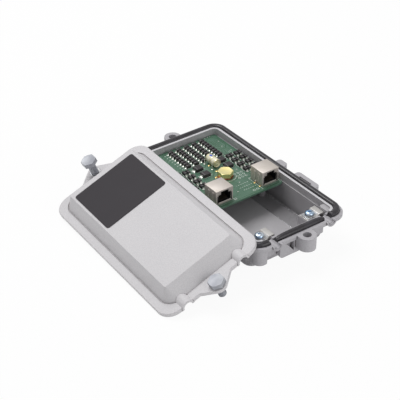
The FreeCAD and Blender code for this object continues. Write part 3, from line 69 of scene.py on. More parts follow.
# %% Node helpers
def add(tree, kind, **settings):
    """A shader node; settings with a capital go to sockets, the rest to properties."""
    node = tree.nodes.new("ShaderNode" + kind)
    for key, value in settings.items():
        if key[0].isupper():
            node.inputs[key.replace("_", " ")].default_value = value
        else:
            setattr(node, key, value)
    return node


def feed(tree, source, node, name):
    """Link a value to an input of a node."""
    tree.links.new(source, node.inputs[name])


def math_node(tree, operation, first, second=None, clamp=False):
    """A maths node fed by sockets or numbers."""
    node = add(tree, "Math", operation=operation, use_clamp=clamp)
    for slot, item in enumerate((first, second)):
        if isinstance(item, (int, float)):
            node.inputs[slot].default_value = item
        elif item is not None:
            feed(tree, item, node, slot)
    return node.outputs[0]


def times(tree, first, second):
    """A product."""
    return math_node(tree, "MULTIPLY", first, second)


def scaled(tree, source, factor, offset):
    """A value times a factor, plus an offset."""
    return math_node(tree, "ADD", times(tree, source, factor), offset)


def blend_colors(tree, factor, first, second, mode="MIX"):
    """A colour mix fed by sockets or plain colours."""
    node = add(tree, "Mix", data_type="RGBA", blend_type=mode)
    for slot, item in ((0, factor), (6, first), (7, second)):
        if isinstance(item, (int, float, tuple)):
            node.inputs[slot].default_value = item
        else:
            feed(tree, item, node, slot)
    return node.outputs[2]


def ramp(tree, source, low, high):
    """A smooth 0 to 1 step between two values."""
    node = add(tree, "MapRange", From_Min=low, From_Max=high)
    node.interpolation_type = "SMOOTHSTEP"
    feed(tree, source, node, "Value")
    return node.outputs[0]


def noise(tree, coordinates, scale, detail=3.0, rough=0.5):
    """Noise in object space."""
    node = add(tree, "TexNoise", Scale=scale, Detail=detail, Roughness=rough)
    feed(tree, coordinates, node, "Vector")
    return node.outputs["Fac"]


def object_place(tree):
    """The point on the piece, in its own coordinates."""
    return add(tree, "TexCoord").outputs["Object"]


def axes_of(tree, place):
    """The x, y and z of a point as three sockets."""
    split = add(tree, "SeparateXYZ")
    feed(tree, place, split, 0)
    return split.outputs


def relief(tree, target, height, distance, strength, normal=None):
    """Bump from a height, to the Normal of a shader or a group."""
    bump = add(tree, "Bump", Distance=distance)
    feed(tree, height, bump, "Height")
    if normal is None:
        bump.inputs["Strength"].default_value = strength
    else:
        feed(tree, strength, bump, "Strength")
        feed(tree, normal, bump, "Normal")
    feed(tree, bump.outputs[0], target, "Normal")


def srgb(red, green, blue):
    """A linear colour from display values out of 255."""
    def linear(value):
        value /= 255.0
        return value / 12.92 if value <= 0.04045 else ((value + 0.055) / 1.055) ** 2.4

    return (linear(red), linear(green), linear(blue), 1.0)


print("display grey 128 is linear", round(srgb(128, 128, 128)[0], 3))

# %% [markdown]
# Powder paint on a die casting is never one flat grey. It has a fine tooth about half
# a millimetre across, a slow drift in tone, and it thins on the edges. The group below
# makes that grain once. A Bevel node inside it rounds the light along every edge by
# less than half a millimetre, as thick paint does. An Ambient Occlusion node finds the
# inner corners and darkens the colour there: painted shade in the creases.

# %% The grain group
def new_group(name, inputs):
    """A group with named inputs that puts out colour, roughness and normal."""
    tree = bpy.data.node_groups.new(name, "ShaderNodeTree")
    for label, value in inputs.items():
        kind = "NodeSocketColor" if isinstance(value, tuple) else "NodeSocketFloat"
        socket = tree.interface.new_socket(label, in_out="INPUT", socket_type=kind)
        socket.default_value = value
    for label, kind in (("Color", "Color"), ("Roughness", "Float"), ("Normal", "Vector")):
        tree.interface.new_socket(label, in_out="OUTPUT", socket_type="NodeSocket" + kind)
    source = tree.nodes.new("NodeGroupInput")
    return tree, source.outputs, tree.nodes.new("NodeGroupOutput")


def soft_edge(tree, radius):
    """A normal that is rounded along the edges."""
    return add(tree, "Bevel", samples=4, Radius=radius).outputs[0]


def grain_group():
    """Cast and painted grain: speckled colour, uneven gloss, a small relief and painted shade in
    creases.
    """
    tree, given, sink = new_group("Cast grain", {
        "Light": srgb(212, 210, 212), "Dark": srgb(190, 188, 191),
        "Grain": 1400.0, "Speckle": 0.7, "Relief": 0.3,
    })
    place = object_place(tree)
    fine = add(tree, "TexNoise", Detail=2.0)
    cells = add(tree, "TexVoronoi")
    for texture in (fine, cells):
        feed(tree, place, texture, "Vector")
        feed(tree, given["Grain"], texture, "Scale")
    tooth = fine.outputs["Fac"]
    spots = math_node(tree, "SUBTRACT", ramp(tree, tooth, 0.34, 0.66), 0.5)
    drift = math_node(tree, "SUBTRACT", noise(tree, place, 26.0, 3.0, 0.6), 0.5)
    mottle = scaled(tree, spots, given["Speckle"], times(tree, drift, 0.4))
    factor = math_node(tree, "ADD", mottle, 0.5, clamp=True)
    colour = blend_colors(tree, factor, given["Dark"], given["Light"])
    # Painted shade: the colour darkens in the inner corners that the Ambient Occlusion node finds.
    corner = add(tree, "AmbientOcclusion", samples=16, only_local=True, Distance=MM)
    open_share = ramp(tree, corner.outputs["AO"], 0.68, 0.88)
    crease_shade = blend_colors(tree, 1.0, colour, srgb(150, 144, 144), "MULTIPLY")
    feed(tree, blend_colors(tree, open_share, crease_shade, colour), sink, "Color")
    feed(tree, scaled(tree, tooth, 0.2, 0.4), sink, "Roughness")
    height = scaled(tree, cells.outputs["Distance"], 0.6, tooth)
    relief(tree, sink, height, 0.05 * MM, given["Relief"], soft_edge(tree, 0.3 * MM))
    print("group:", tree.name)
    return tree


GRAIN = grain_group()

# %% [markdown]
# Plated and tinned parts are mirrors with faults. Their colour drifts a little, the
# gloss varies, and fine lines show where they were rolled or turned. The relief stays
# tiny: stronger bump turns bright metal into sand when it is seen from far away.

# %% The plating group
def plating_group():
    """Plated metal: a tint that drifts, fine lines and uneven gloss."""
    tree, given, sink = new_group("Plated metal", {
        "Tint": srgb(200, 205, 214), "Second tint": srgb(170, 180, 200),
        "Gloss loss": 0.2, "Lines": 0.05,
    })
    place = object_place(tree)
    stretch = add(tree, "Mapping", Scale=(1.0, 0.15, 1.0))
    feed(tree, place, stretch, "Vector")
    lines = noise(tree, stretch.outputs[0], 2600.0, 2.0)
    mask = ramp(tree, noise(tree, place, 150.0, 2.0), 0.3, 0.7)
    feed(tree, blend_colors(tree, mask, given["Tint"], given["Second tint"]), sink, "Color")
    rough = scaled(tree, lines, 0.1, given["Gloss loss"])
    feed(tree, scaled(tree, mask, 0.06, rough), sink, "Roughness")
    relief(tree, sink, lines, 0.01 * MM, given["Lines"], soft_edge(tree, 0.12 * MM))
    print("group:", tree.name)
    return tree


PLATING = plating_group()


M = {}


def new_material(name, kind="BsdfPrincipled"):
    """A listed material with only its shader and output."""
    M[name] = bpy.data.materials.new(name)
    M[name].use_nodes = True
    tree = M[name].node_tree
    tree.nodes.clear()
    shader = add(tree, kind)
    feed(tree, shader.outputs[0], add(tree, "OutputMaterial"), 0)
    return tree, shader


def use_group(tree, shader, group, **values):
    """Place a group and wire colour, roughness and normal to the shader."""
    node = add(tree, "Group", node_tree=group, **values)
    feed(tree, node.outputs["Color"], shader, "Base Color")
    for name in ("Roughness", "Normal"):
        feed(tree, node.outputs[name], shader, name)
    return node


# %% [markdown]
# ## The castings' finish
#
# The base is painted outside. Its lip was machined after painting, so it is bare and
# bright, and the inside of the tub is raw casting, darker and a little metallic. The
# low strips beside the raised floor are darker still, painted shade that deepens
# towards the floor. All of this is one casting, so one material finds the zones by
# place: a box marks the inside, and heights mark the lip and the strips.

# %% Paint, raw casting and machined lip
def box_mask(tree, axes, half_width, front, rear, floor, soft):
    """1 inside an upright box, 0 outside, with soft sides."""
    across = ramp(tree, math_node(tree, "ABSOLUTE", axes["X"]), half_width, half_width + soft)
    mask = math_node(tree, "SUBTRACT", 1.0, across)
    for value, low in ((axes["Y"], front), (axes["Z"], floor)):
        mask = times(tree, mask, ramp(tree, value, low - soft, low))
    behind = ramp(tree, axes["Y"], rear, rear + soft)
    return times(tree, mask, math_node(tree, "SUBTRACT", 1.0, behind))


def base_material():
    """Paint outside, darker than the cover's as painted shade; raw casting inside, bright metal on
    the lip.
    """
    tree, shader = new_material("cast_base")
    # Painted shade: the base's paint is a darker copy of the cover's paint.
    node = use_group(tree, shader, GRAIN, Light=srgb(186, 184, 188), Dark=srgb(169, 167, 171))
    place = object_place(tree)
    axes = axes_of(tree, place)
    inside = box_mask(tree, axes, *mm(36.0, -72.8, 75.2, 3.5, 0.2))
    facing = axes_of(tree, add(tree, "NewGeometry").outputs["Normal"])["Z"]
    high = ramp(tree, axes["Z"], *mm(29.2, 29.6))
    lip = times(tree, high, ramp(tree, facing, 0.3, 0.7))
    cloud = noise(tree, place, 90.0, 4.0)
    raw = blend_colors(tree, cloud, srgb(170, 168, 171), srgb(190, 188, 191))
    # Painted shade: the low strips beside the raised floor are darker, most of all near the floor.
    beside = ramp(tree, math_node(tree, "ABSOLUTE", axes["X"]), *mm(18.9, 19.3))
    strip_shade = times(tree, beside, ramp(tree, axes["Z"], *mm(12.0, 4.0)))
    raw = blend_colors(tree, strip_shade, raw, srgb(150, 148, 151))
    colour = blend_colors(tree, inside, node.outputs["Color"], raw)
    feed(tree, blend_colors(tree, lip, colour, srgb(212, 211, 214)), shader, "Base Color")
    bare = times(tree, lip, 0.2)
    metal = math_node(tree, "ADD", times(tree, inside, 0.15), bare, clamp=True)
    feed(tree, metal, shader, "Metallic")
    feed(tree, scaled(tree, metal, -0.12, node.outputs["Roughness"]), shader, "Roughness")


def cover_material():
    """The same paint on the cover, lighter than on the base: painted light here, painted shade on
    the base.
    """
    tree, shader = new_material("cast_cover")
    use_group(tree, shader, GRAIN, Light=srgb(217, 215, 217), Dark=srgb(202, 200, 203))
    shader.inputs["Specular IOR Level"].default_value = 0.4


base_material()
cover_material()
print("castings' materials:", list(M))

# %% [markdown]
# ## Film, rubber, board and mouldings
#
# The label is a matt dark film, left without print here. The seal is satin rubber that
# picks up the light along its crown. The board has green mask over glass cloth. Each
# of them is a two-colour blend driven by noise, with a relief to match its scale. The
# metals and the mouldings differ only in a few values, so two tables list those.

# %% Soft, moulded and plated finishes
def two_tone(tree, shader, mask, low, high, gloss):
    """Two display colours by a mask, and a roughness socket."""
    feed(tree, blend_colors(tree, mask, srgb(*low), srgb(*high)), shader, "Base Color")
    feed(tree, gloss, shader, "Roughness")


def film_material():
    """Matt film of the label, with a soft tooth."""
    tree, shader = new_material("label_film")
    place = object_place(tree)
    fine = noise(tree, place, 2200.0, 2.0)
    mask = scaled(tree, fine, 0.5, times(tree, noise(tree, place, 40.0), 0.5))
    two_tone(tree, shader, mask, (40, 36, 41), (51, 47, 52), scaled(tree, fine, 0.2, 0.5))
    shader.inputs["Specular IOR Level"].default_value = 0.3
    relief(tree, shader, fine, 0.01 * MM, 0.3)


def rubber_material():
    """Satin black rubber with a faint bloom."""
    tree, shader = new_material("seal_rubber")
    place = object_place(tree)
    bloom = ramp(tree, noise(tree, place, 120.0, 4.0, 0.6), 0.4, 0.75)
    two_tone(tree, shader, bloom, (38, 35, 39), (52, 50, 56), scaled(tree, bloom, 0.1, 0.24))
    relief(tree, shader, noise(tree, place, 1500.0, 2.0), 0.02 * MM, 0.2)


def mask_material():
    """Green solder mask over glass cloth, a shade darker in slow patches."""
    tree, shader = new_material("solder_mask")
    place = object_place(tree)
    weave = add(tree, "TexBrick", Scale=900.0, Mortar_Size=0.02, Mortar_Smooth=1.0)
    feed(tree, place, weave, "Vector")
    cloth = weave.outputs["Fac"]
    wide = noise(tree, place, 60.0)
    patches = ramp(tree, wide, 0.35, 0.7)
    base = blend_colors(tree, patches, srgb(76, 111, 91), srgb(94, 127, 109))
    colour = blend_colors(tree, times(tree, cloth, 0.12), base, srgb(50, 84, 62))
    feed(tree, colour, shader, "Base Color")
    feed(tree, scaled(tree, wide, 0.15, 0.22), shader, "Roughness")
    relief(tree, shader, cloth, 0.015 * MM, 0.2)


def moulded_material(name, low, high, rough):
    """Moulded plastic, ceramic or ink with a faint mottling."""
    tree, shader = new_material(name)
    fine = noise(tree, object_place(tree), 1400.0)
    mask = ramp(tree, fine, 0.3, 0.7)
    two_tone(tree, shader, mask, low, high, scaled(tree, fine, 0.15, rough))
    relief(tree, shader, fine, 0.01 * MM, 0.3)


def plated_material(name, tint, second, loss=0.2, metallic=1.0):
    """Bright plated metal."""
    tree, shader = new_material(name)
    use_group(
        tree, shader, PLATING, Tint=srgb(*tint), Second_tint=srgb(*second), Gloss_loss=loss,
        Lines=0.05,
    )
    shader.inputs["Metallic"].default_value = metallic


PLATED = {
    "zinc_bolt": ((170, 172, 177), (158, 160, 167), 0.48, 0.6),
    "blue_zinc": ((214, 222, 230), (150, 182, 214), 0.16),
    "bright_zinc": ((205, 205, 204), (182, 184, 188)),
    "nickel": ((204, 202, 200), (195, 193, 190), 0.3, 0.6),
    "tinned_shield": ((204, 197, 191), (197, 190, 183), 0.5, 0.88),
    "tinned_lead": ((240, 240, 234), (226, 226, 218), 0.2, 0.85),
    "gold_flash": ((236, 204, 140), (214, 178, 108)),
    # The jacks' contacts sit deep in the mouths: their gold is darkened as painted shade.
    "dull_gold": ((72, 64, 54), (54, 48, 40), 0.4, 0.6),
    "brass": ((250, 240, 182), (238, 224, 156), 0.32),
    "copper": ((166, 104, 80), (134, 84, 64), 0.32),
    "tube_cap": ((238, 232, 200), (226, 218, 180), 0.2, 0.6),
}
MOULDED = {
    "routed_mask": ((56, 94, 70), (68, 106, 82), 0.2),
    "package": ((34, 30, 32), (46, 41, 43), 0.42),
    "package_band": ((92, 90, 92), (110, 108, 110), 0.5),
    "black_plastic": ((20, 19, 21), (30, 28, 31), 0.4),
    "cream_ceramic": ((234, 228, 200), (244, 240, 218), 0.2),
    "board_print": ((222, 230, 222), (240, 244, 240), 0.5),
    "blue_mark": ((70, 96, 190), (92, 118, 205), 0.4),
}
film_material()
rubber_material()
mask_material()
for make, recipes in ((plated_material, PLATED), (moulded_material, MOULDED)):
    for material_name, recipe in recipes.items():
        make(material_name, *recipe)
print("materials:", len(M))

# %% [markdown]
# CAD nodes whose shape is right keep their mesh and only take a material.

# %% Dress the nodes that stay
DRESSED = {
    "label_film": ["cover_label"],
    "bright_zinc": ["bolt_retainer_front", "bolt_retainer_rear", "clamp_split_washers"],
    "solder_mask": ["circuit_board"],
    "black_plastic": ["jack_left_insert", "jack_right_insert"],
    "dull_gold": ["jack_left_contacts", "jack_right_contacts"],
}
for material_name, nodes in DRESSED.items():
    for node_name in nodes:
        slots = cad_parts[node_name].data.materials
        slots.clear()
        slots.append(M[material_name])
print("dressed CAD nodes:", sum(len(nodes) for nodes in DRESSED.values()))

# %% [markdown]
# ## Helpers for modelling
#
# A CAD mesh arrives as loose triangles, so a copy is joined first. Parts are built one
# by one in small meshes about their own origin and then placed, in bulk, in the mesh
# of a piece. A piece lies at the origin, unturned, with its place in its vertices.

# %% Copy, place and finish
def to_data(name, mesh, keep=False):
    """A mesh datablock from a working mesh."""
    data = bpy.data.meshes.new(name)
    mesh.to_mesh(data)
    if not keep:
        mesh.free()
    return data


def from_data(data, matrix=Matrix()):
    """A placed working mesh from a temporary datablock, which is removed."""
    data.transform(matrix)
    mesh = bmesh.new()
    mesh.from_mesh(data)
    bpy.data.meshes.remove(data)
    return mesh


def new_object(name, data):
    """An object in the scene."""
    item = bpy.data.objects.new(name, data)
    bpy.context.scene.collection.objects.link(item)
    return item


def evaluated(item, matrix=Matrix()):
    """A working mesh of an object with its modifiers or bevel applied."""
    depsgraph = bpy.context.evaluated_depsgraph_get()
    return from_data(bpy.data.meshes.new_from_object(item.evaluated_get(depsgraph)), matrix)


def joined_copy(node):
    """A copy of a CAD node's mesh with its triangles joined."""
    mesh = bmesh.new()
    mesh.from_mesh(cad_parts[node].data)
    bmesh.ops.remove_doubles(mesh, verts=mesh.verts, dist=0.002 * MM)
    return mesh


def corners(points):
    """The lowest and highest corner round some points."""
    return Vector(map(min, zip(*points))), Vector(map(max, zip(*points)))


def solid_boxes(node):
    """Lowest and highest corner of each separate solid of a CAD node."""
    mesh = joined_copy(node)
    waiting = set(mesh.verts)
    boxes = []
    while waiting:
        stack = [waiting.pop()]
        points = []
        while stack:
            vert = stack.pop()
            points.append(vert.co.copy())
            near = {edge.other_vert(vert) for edge in vert.link_edges} & waiting
            waiting -= near
            stack.extend(near)
        boxes.append(corners(points))
    mesh.free()
    return sorted(boxes, key=lambda box: tuple(round(value, 6) for value in box[0]))


def face_out(mesh):
    """Turn all faces outwards."""
    bmesh.ops.recalc_face_normals(mesh, faces=mesh.faces)
    return mesh


def place_part(target, part, matrix=Matrix(), slot=0, keep=False):
    """Copy a part into a larger mesh, with one material slot."""
    for face in part.faces:
        face.material_index = slot
    data = to_data("part", part, keep)
    data.transform(matrix)
    target.from_mesh(data)
    bpy.data.meshes.remove(data)


def finish_piece(mesh, name, slot, materials=None, body="root", stands_for=(), crease=32):
    """Make the object, shade it, and say where it rides and what it stands for."""
    data = to_data(name, mesh)
    data.polygons.foreach_set("use_smooth", [True] * len(data.polygons))
    if crease is not None:
        data.set_sharp_from_angle(angle=math.radians(crease))
    for material in materials or [slot]:
        data.materials.append(M[material])
    piece = new_object(name, data)
    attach(piece, body)
    if stands_for:
        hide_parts(*stands_for)
    print(name, "faces:", len(data.polygons))
    return piece


# %% [markdown]
# Most parts grow from three forms: a profile spun on a lathe, a block with rounded
# edges, and a ring of edges that is extruded step by step.

# %% Lathe, block and ring
def at(x, y, z):
    """A move, in metres."""
    return Matrix.Translation((x, y, z))


def over(low, high, z=0.0):
    """A move to the middle of a box as seen from above."""
    return at((low.x + high.x) / 2, (low.y + high.y) / 2, z)


def spun_line(profile, steps, climb=0.0, close=True):
    """Spin a line of (radius, height) points one turn round the upright axis."""
    part = bmesh.new()
    verts = [part.verts.new((radius, 0.0, height)) for radius, height in profile]
    edges = [part.edges.new(pair) for pair in zip(verts, verts[1:])]
    bmesh.ops.spin(
        part, geom=verts + edges, cent=(0, 0, 0), axis=(0, 0, 1), dvec=(0, 0, climb),
        angle=math.tau, steps=steps, use_merge=close, use_duplicate=False,
    )
    return part


def lathe(profile, steps=32):
    """A closed turned form."""
    part = spun_line(profile, steps)
    bmesh.ops.remove_doubles(part, verts=part.verts, dist=1e-7)
    return face_out(part)


def round_edges(part, edges, reach, segments=2):
    """Round a set of edges."""
    bmesh.ops.bevel(
        part, geom=edges, offset=reach, offset_type="OFFSET", segments=segments,
        profile=0.5, affect="EDGES", material=-1, clamp_overlap=True,
    )


def block(size, bevel=0.0):
    """A block about its centre, with rounded edges."""
    part = bmesh.new()
    bmesh.ops.create_cube(part, size=1.0)
    bmesh.ops.scale(part, vec=size, verts=part.verts)
    if bevel:
        round_edges(part, part.edges[:], bevel)
    return part


def extrude_ring(part, ring, rise, widen=1.0):
    """Extrude an open ring of edges up or down and widen it; returns the new ring."""
    out = bmesh.ops.extrude_edge_only(part, edges=ring)["geom"]
    for vert in (item for item in out if isinstance(item, bmesh.types.BMVert)):
        vert.co = (vert.co.x * widen, vert.co.y * widen, vert.co.z + rise)
    return [item for item in out if isinstance(item, bmesh.types.BMEdge) and item.is_boundary]


# %% [markdown]
# ## The two castings
#
# The CAD gives the castings all their form. Flat shading would show the triangles of
# every fillet, so each casting is a joined copy with smooth shading. Triangles that lie
# in one plane are dissolved into one face first. Edges sharper than about sixteen
# degrees stay crisp, and so do gentle edges of large faces. A Weighted Normal modifier
# keeps the large flat faces flat.

# %% Smooth castings
def smooth_casting(node, name, slot):
    """A joined, smoothly shaded copy of a casting."""
    crisp, gentle, large = math.radians(16), math.radians(3), 60 * MM * MM
    mesh = joined_copy(node)
    bmesh.ops.dissolve_degenerate(mesh, edges=mesh.edges, dist=0.001 * MM)
    flat = math.radians(0.3)
    bmesh.ops.dissolve_limit(mesh, angle_limit=flat, verts=mesh.verts, edges=mesh.edges)
    for edge in mesh.edges:
        wide = max(face.calc_area() for face in edge.link_faces) > large
        edge.smooth = edge.calc_face_angle(0.0) <= (gentle if wide else crisp)
    piece = finish_piece(mesh, name, slot, stands_for=[node], crease=None)
    piece.modifiers.new("flat_faces", "WEIGHTED_NORMAL").keep_sharp = True


smooth_casting("base_housing", "tub_casting", "cast_base")
smooth_casting("cover", "cover_casting", "cast_cover")

# %% [markdown]
# Small traces of casting finish the base. The ejector pins of the die leave faint rings
# on the tub's floor, spun here from a small profile. Fine ridges of bright metal run
# along the edges of the raised floor and along the foot of the right wall: a painted
# highlight where those edges catch the light. Each cable notch has three half rings that
# bite into the cable's jacket, and each of those is a small disc spun half a turn.

# %% Ejector rings, highlight ridges and notch ribs
def ejector_marks():
    """Faint raised rings on the floor."""
    floor = 4.0
    section = ((0.0, -0.05), (0.0, 0.06), (0.12, 0.1), (0.3, 0.06), (0.3, -0.05), (0.0, -0.05))
    mesh = bmesh.new()
    for x, y, radius in (
        (27.5, -37.8, 3.2), (-27.5, -37.8, 3.2), (6.5, -30.5, 2.0), (12.5, -42.0, 2.0),
    ):
        ring = lathe([mm(radius - inset, rise) for inset, rise in section], 40)
        place_part(mesh, ring, at(*mm(x, y, floor)))
    finish_piece(mesh, "ejector_marks", "cast_base")


def highlight_ridges():
    """Fine ridges along the floor edges, bright metal as a painted highlight."""
    rear = 30.0
    mesh = bmesh.new()
    for x, front, level in ((18.8, -61.0, 4.9), (-18.8, -61.0, 4.9), (33.3, -50.0, 4.05)):
        ridge = block(mm(0.3, rear - front, 0.3), 0.08 * MM)
        place_part(mesh, ridge, at(*mm(x, (front + rear) / 2, level)))
    finish_piece(mesh, "highlight_ridges", "cast_base", ["bright_zinc"])


def notch_ribs():
    """Three half rings in each cable notch."""
    notch, thick, seam = 2.62 * MM, 0.36 * MM, 29.0 * MM
    mesh = bmesh.new()
    for x in mm(-25.6, 25.6):
        for y in mm(-85.0, -83.5, -82.0):
            rib = bmesh.new()
            bmesh.ops.create_circle(
                rib, cap_ends=True, segments=8, radius=thick, matrix=at(notch, 0, 0),
            )
            bmesh.ops.spin(
                rib, geom=rib.verts[:] + rib.edges[:] + rib.faces[:], cent=(0, 0, 0),
                axis=(0, 1, 0), angle=math.pi, steps=14,
            )
            bmesh.ops.holes_fill(rib, edges=rib.edges[:], sides=8)
            face_out(rib)
            place_part(mesh, rib, at(x, y, seam))
    finish_piece(mesh, "notch_ribs", "cast_base")


ejector_marks()
highlight_ridges()
notch_ribs()

# %% [markdown]
# ## The rubber seal
#
# The seal is one moulded cord with a domed crown, pressed into the groove of the flange.
# A swept curve would do, but a flat ring that is inset, thickened and rounded follows
# the groove's corners exactly. The ring is cut open at the cable end, where a short
# straight piece closes the gap between the two cable notches.

# %% Seal ring and strip
SEAL_WIDTH, CROWN = mm(5.1, 2.1)


def crown_edges(mesh, level):
    """The boundary edges of the top face strip."""
    return [
        edge for edge in mesh.edges
        if all(abs(vert.co.z - level) < 1e-6 for vert in edge.verts)
        and any(abs(face.normal.z) < 0.5 for face in edge.link_faces)
    ]


def seal_ring():
    """The long seal, from notch to notch round the back."""
    corner, half_gap = mm(11.3, 28.9)
    low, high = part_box("rim_gasket")
    mesh = bmesh.new()
    bmesh.ops.create_grid(mesh, x_segments=1, y_segments=1, size=0.5)
    bmesh.ops.scale(mesh, vec=(high.x - low.x, high.y - low.y, 1.0), verts=mesh.verts)
    bmesh.ops.bevel(
        mesh, geom=mesh.verts[:], offset=corner, offset_type="OFFSET", segments=16,
        profile=0.5, affect="VERTICES", material=-1, clamp_overlap=True,
    )
    bmesh.ops.transform(mesh, matrix=over(low, high), verts=mesh.verts)
    bmesh.ops.inset_region(
        mesh, faces=mesh.faces[:], thickness=SEAL_WIDTH, use_even_offset=True, use_boundary=True,
    )
    middle = max(mesh.faces, key=lambda face: len(face.verts))
    bmesh.ops.delete(mesh, geom=[middle], context="FACES")
    for x in (-half_gap, half_gap):
        near = low.y + 2 * SEAL_WIDTH
        front = [face for face in mesh.faces if face.calc_center_median().y < near]
        around = {item for face in front for item in list(face.verts) + list(face.edges)}
        bmesh.ops.bisect_plane(
            mesh, geom=front + list(around), plane_co=(x, 0, 0), plane_no=(1, 0, 0),
        )
    centres = [(face, face.calc_center_median()) for face in mesh.faces]
    lost = [face for face, spot in centres if abs(spot.x) < half_gap and spot.y < 0]
    bmesh.ops.delete(mesh, geom=lost, context="FACES")
    bmesh.ops.solidify(mesh, geom=mesh.faces[:], thickness=high.z - low.z)
    bottom = min(vert.co.z for vert in mesh.verts)
    bmesh.ops.translate(mesh, vec=(0, 0, low.z - bottom), verts=mesh.verts)
    face_out(mesh)
    round_edges(mesh, crown_edges(mesh, high.z), CROWN, 6)
    finish_piece(mesh, "seal_ring", "seal", ["seal_rubber"], stands_for=["rim_gasket"], crease=45)


def seal_strip():
    """The short seal between the cable notches, with tapering ends."""
    low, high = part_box("front_gasket")
    size, middle = high - low, (low + high) / 2
    mesh = block(size)
    bmesh.ops.translate(mesh, vec=middle, verts=mesh.verts)

    def lengthways():
        return [
            edge for edge in mesh.edges
            if abs(edge.verts[0].co.x - edge.verts[1].co.x) > size.x / 2
        ]

    upper = [edge for edge in lengthways() if edge.verts[0].co.z > high.z - 1e-6]
    round_edges(mesh, upper, CROWN, 6)
    bmesh.ops.subdivide_edges(mesh, edges=lengthways(), cuts=15)
    for vert in mesh.verts:
        share = abs(vert.co.x - middle.x) / (size.x / 2)
        vert.co.y = middle.y + (vert.co.y - middle.y) * (1.0 - 0.34 * share ** 4)
        vert.co.z = low.z + (vert.co.z - low.z) * (1.0 - 0.3 * share ** 6)
    finish_piece(
        mesh, "seal_strip", "seal", ["seal_rubber"], stands_for=["front_gasket"], crease=45,
    )


seal_ring()
seal_strip()

# %% [markdown]
# ## Cover bolts
#
# Each ear of the cover holds a captive hexagon bolt. A turned hexagon head has a cone
# cut across its corners, which draws an arc on every flat. The hexagon is divided, and
# the outer points of its top ring are lowered along that cone. The thread is a real
# helix: a row of teeth is spun one full turn while it climbs one pitch, so that each
# tooth meets the next.

# %% Heads and threads
HEAD_HEIGHT = 4.2 * MM


def hex_head(flats, height):
    """A hexagon head standing on z = 0, chamfered as if turned."""
    washer_face, dish_depth = mm(0.25, 0.18)
    face_radius = flats * 0.492
    part = bmesh.new()
    bmesh.ops.create_circle(
        part, cap_ends=False, segments=6, radius=flats / math.sqrt(3),
        matrix=at(0, 0, washer_face),
    )
    bmesh.ops.subdivide_edges(part, edges=part.edges[:], cuts=5)
    foot = part.edges[:]
    top = extrude_ring(part, foot, height - washer_face)
    rim = extrude_ring(part, top, 0.0)
    for vert in {vert for edge in rim for vert in edge.verts}:
        flat = vert.co.xy.normalized() * (face_radius + vert.co.xy.length) / 2
        vert.co = (flat.x, flat.y, height)
    for vert in {vert for edge in top for vert in edge.verts}:
        past = vert.co.xy.length - face_radius
        if past > 0:
            vert.co.z = height - past * 0.4
    land = extrude_ring(part, rim, 0.0, 0.9)
    dish = extrude_ring(part, land, -dish_depth, 0.86)
    washer = extrude_ring(part, foot, 0.0, 0.93)
    seat = extrude_ring(part, washer, -washer_face)
    for ring in (dish, seat):
        bmesh.ops.edgeloop_fill(part, edges=ring)
    return face_out(part)


def threaded_rod(thread, top, bottom, steps=24):
    """A closed rod between two heights; thread is major and minor radius and pitch."""
    major, minor, pitch = thread
    tooth = ((minor, 0.0), (minor, 0.12), (major, 0.44), (major, 0.56), (minor, 0.88))
    turns = int((top - bottom) / pitch) + 4
    part = spun_line([
        (radius, bottom + (turn - 2 + rise) * pitch)
        for turn in range(turns) for radius, rise in tooth
    ], steps, climb=pitch / steps, close=False)
    bmesh.ops.remove_doubles(part, verts=part.verts, dist=1e-6)
    for level, side in ((bottom, -1), (top, 1)):
        everything = part.verts[:] + part.edges[:] + part.faces[:]
        bmesh.ops.bisect_plane(
            part, geom=everything, dist=1e-7, plane_co=(0, 0, level), plane_no=(0, 0, side),
            clear_outer=True,
        )
        open_edges = [edge for edge in part.edges if edge.is_boundary]
        bmesh.ops.holes_fill(part, edges=open_edges, sides=0)
    for vert in part.verts:
        limit = minor * 0.78 + (vert.co.z - bottom)
        if vert.co.xy.length > limit:
            vert.co.xy = vert.co.xy.normalized() * limit
    return face_out(part)


print("head height in mm:", round(HEAD_HEIGHT / MM, 2))

# %% [markdown]
# The cover leans on the base, turned about two axes. The bolts are built upright, along
# the cover's own axis, and then laid in that frame. The box of a bolt's CAD node,
# measured in the same frame, gives its place and its length.

# %% Bolts in the cover's frame
COVER = (
    at(*mm(-76.114181, 2.3, 17.844587))
    @ Matrix.Rotation(math.radians(-22.44724), 4, "Y")
    @ Matrix.Rotation(math.radians(-2.0), 4, "Z")
)


def cover_bolt(node, name, body):
    """A hexagon bolt with a short neck and a threaded end."""
    inverse = COVER.inverted()
    low, high = corners([inverse @ vert.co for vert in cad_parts[node].data.vertices])
    flats = 11.1 * MM
    foot = high.z - HEAD_HEIGHT
    neck = foot - 2.6 * MM
    outline = ((3.05, foot), (2.9, foot - 0.3 * MM), (2.9, neck + 0.3 * MM), (2.5, neck - 0.2 * MM))
    shank = [(radius * MM, height) for radius, height in outline]
    mesh = bmesh.new()
    place_part(mesh, hex_head(flats, HEAD_HEIGHT), at(0, 0, foot))
    place_part(mesh, lathe([(0.0, foot), *shank, (0.0, neck - 0.2 * MM)], 28))
    place_part(mesh, threaded_rod(mm(3.17, 2.62, 1.27), neck, low.z))
    bmesh.ops.transform(mesh, matrix=COVER @ over(low, high), verts=mesh.verts)
    finish_piece(mesh, name, "zinc_bolt", body=body, stands_for=[node], crease=24)


cover_bolt("cover_bolt_front", "front_hex_bolt", "front_bolt")
cover_bolt("cover_bolt_rear", "rear_hex_bolt", "rear_bolt")

# %% [markdown]
# ## Cable clamps
#
# A bent strap holds each cable. The strap and the square washer are sheet metal, so
# the copies of their CAD solids get their flat faces joined and their edges rounded.
# The shells of the jacks further on are folded sheet too and get the same.

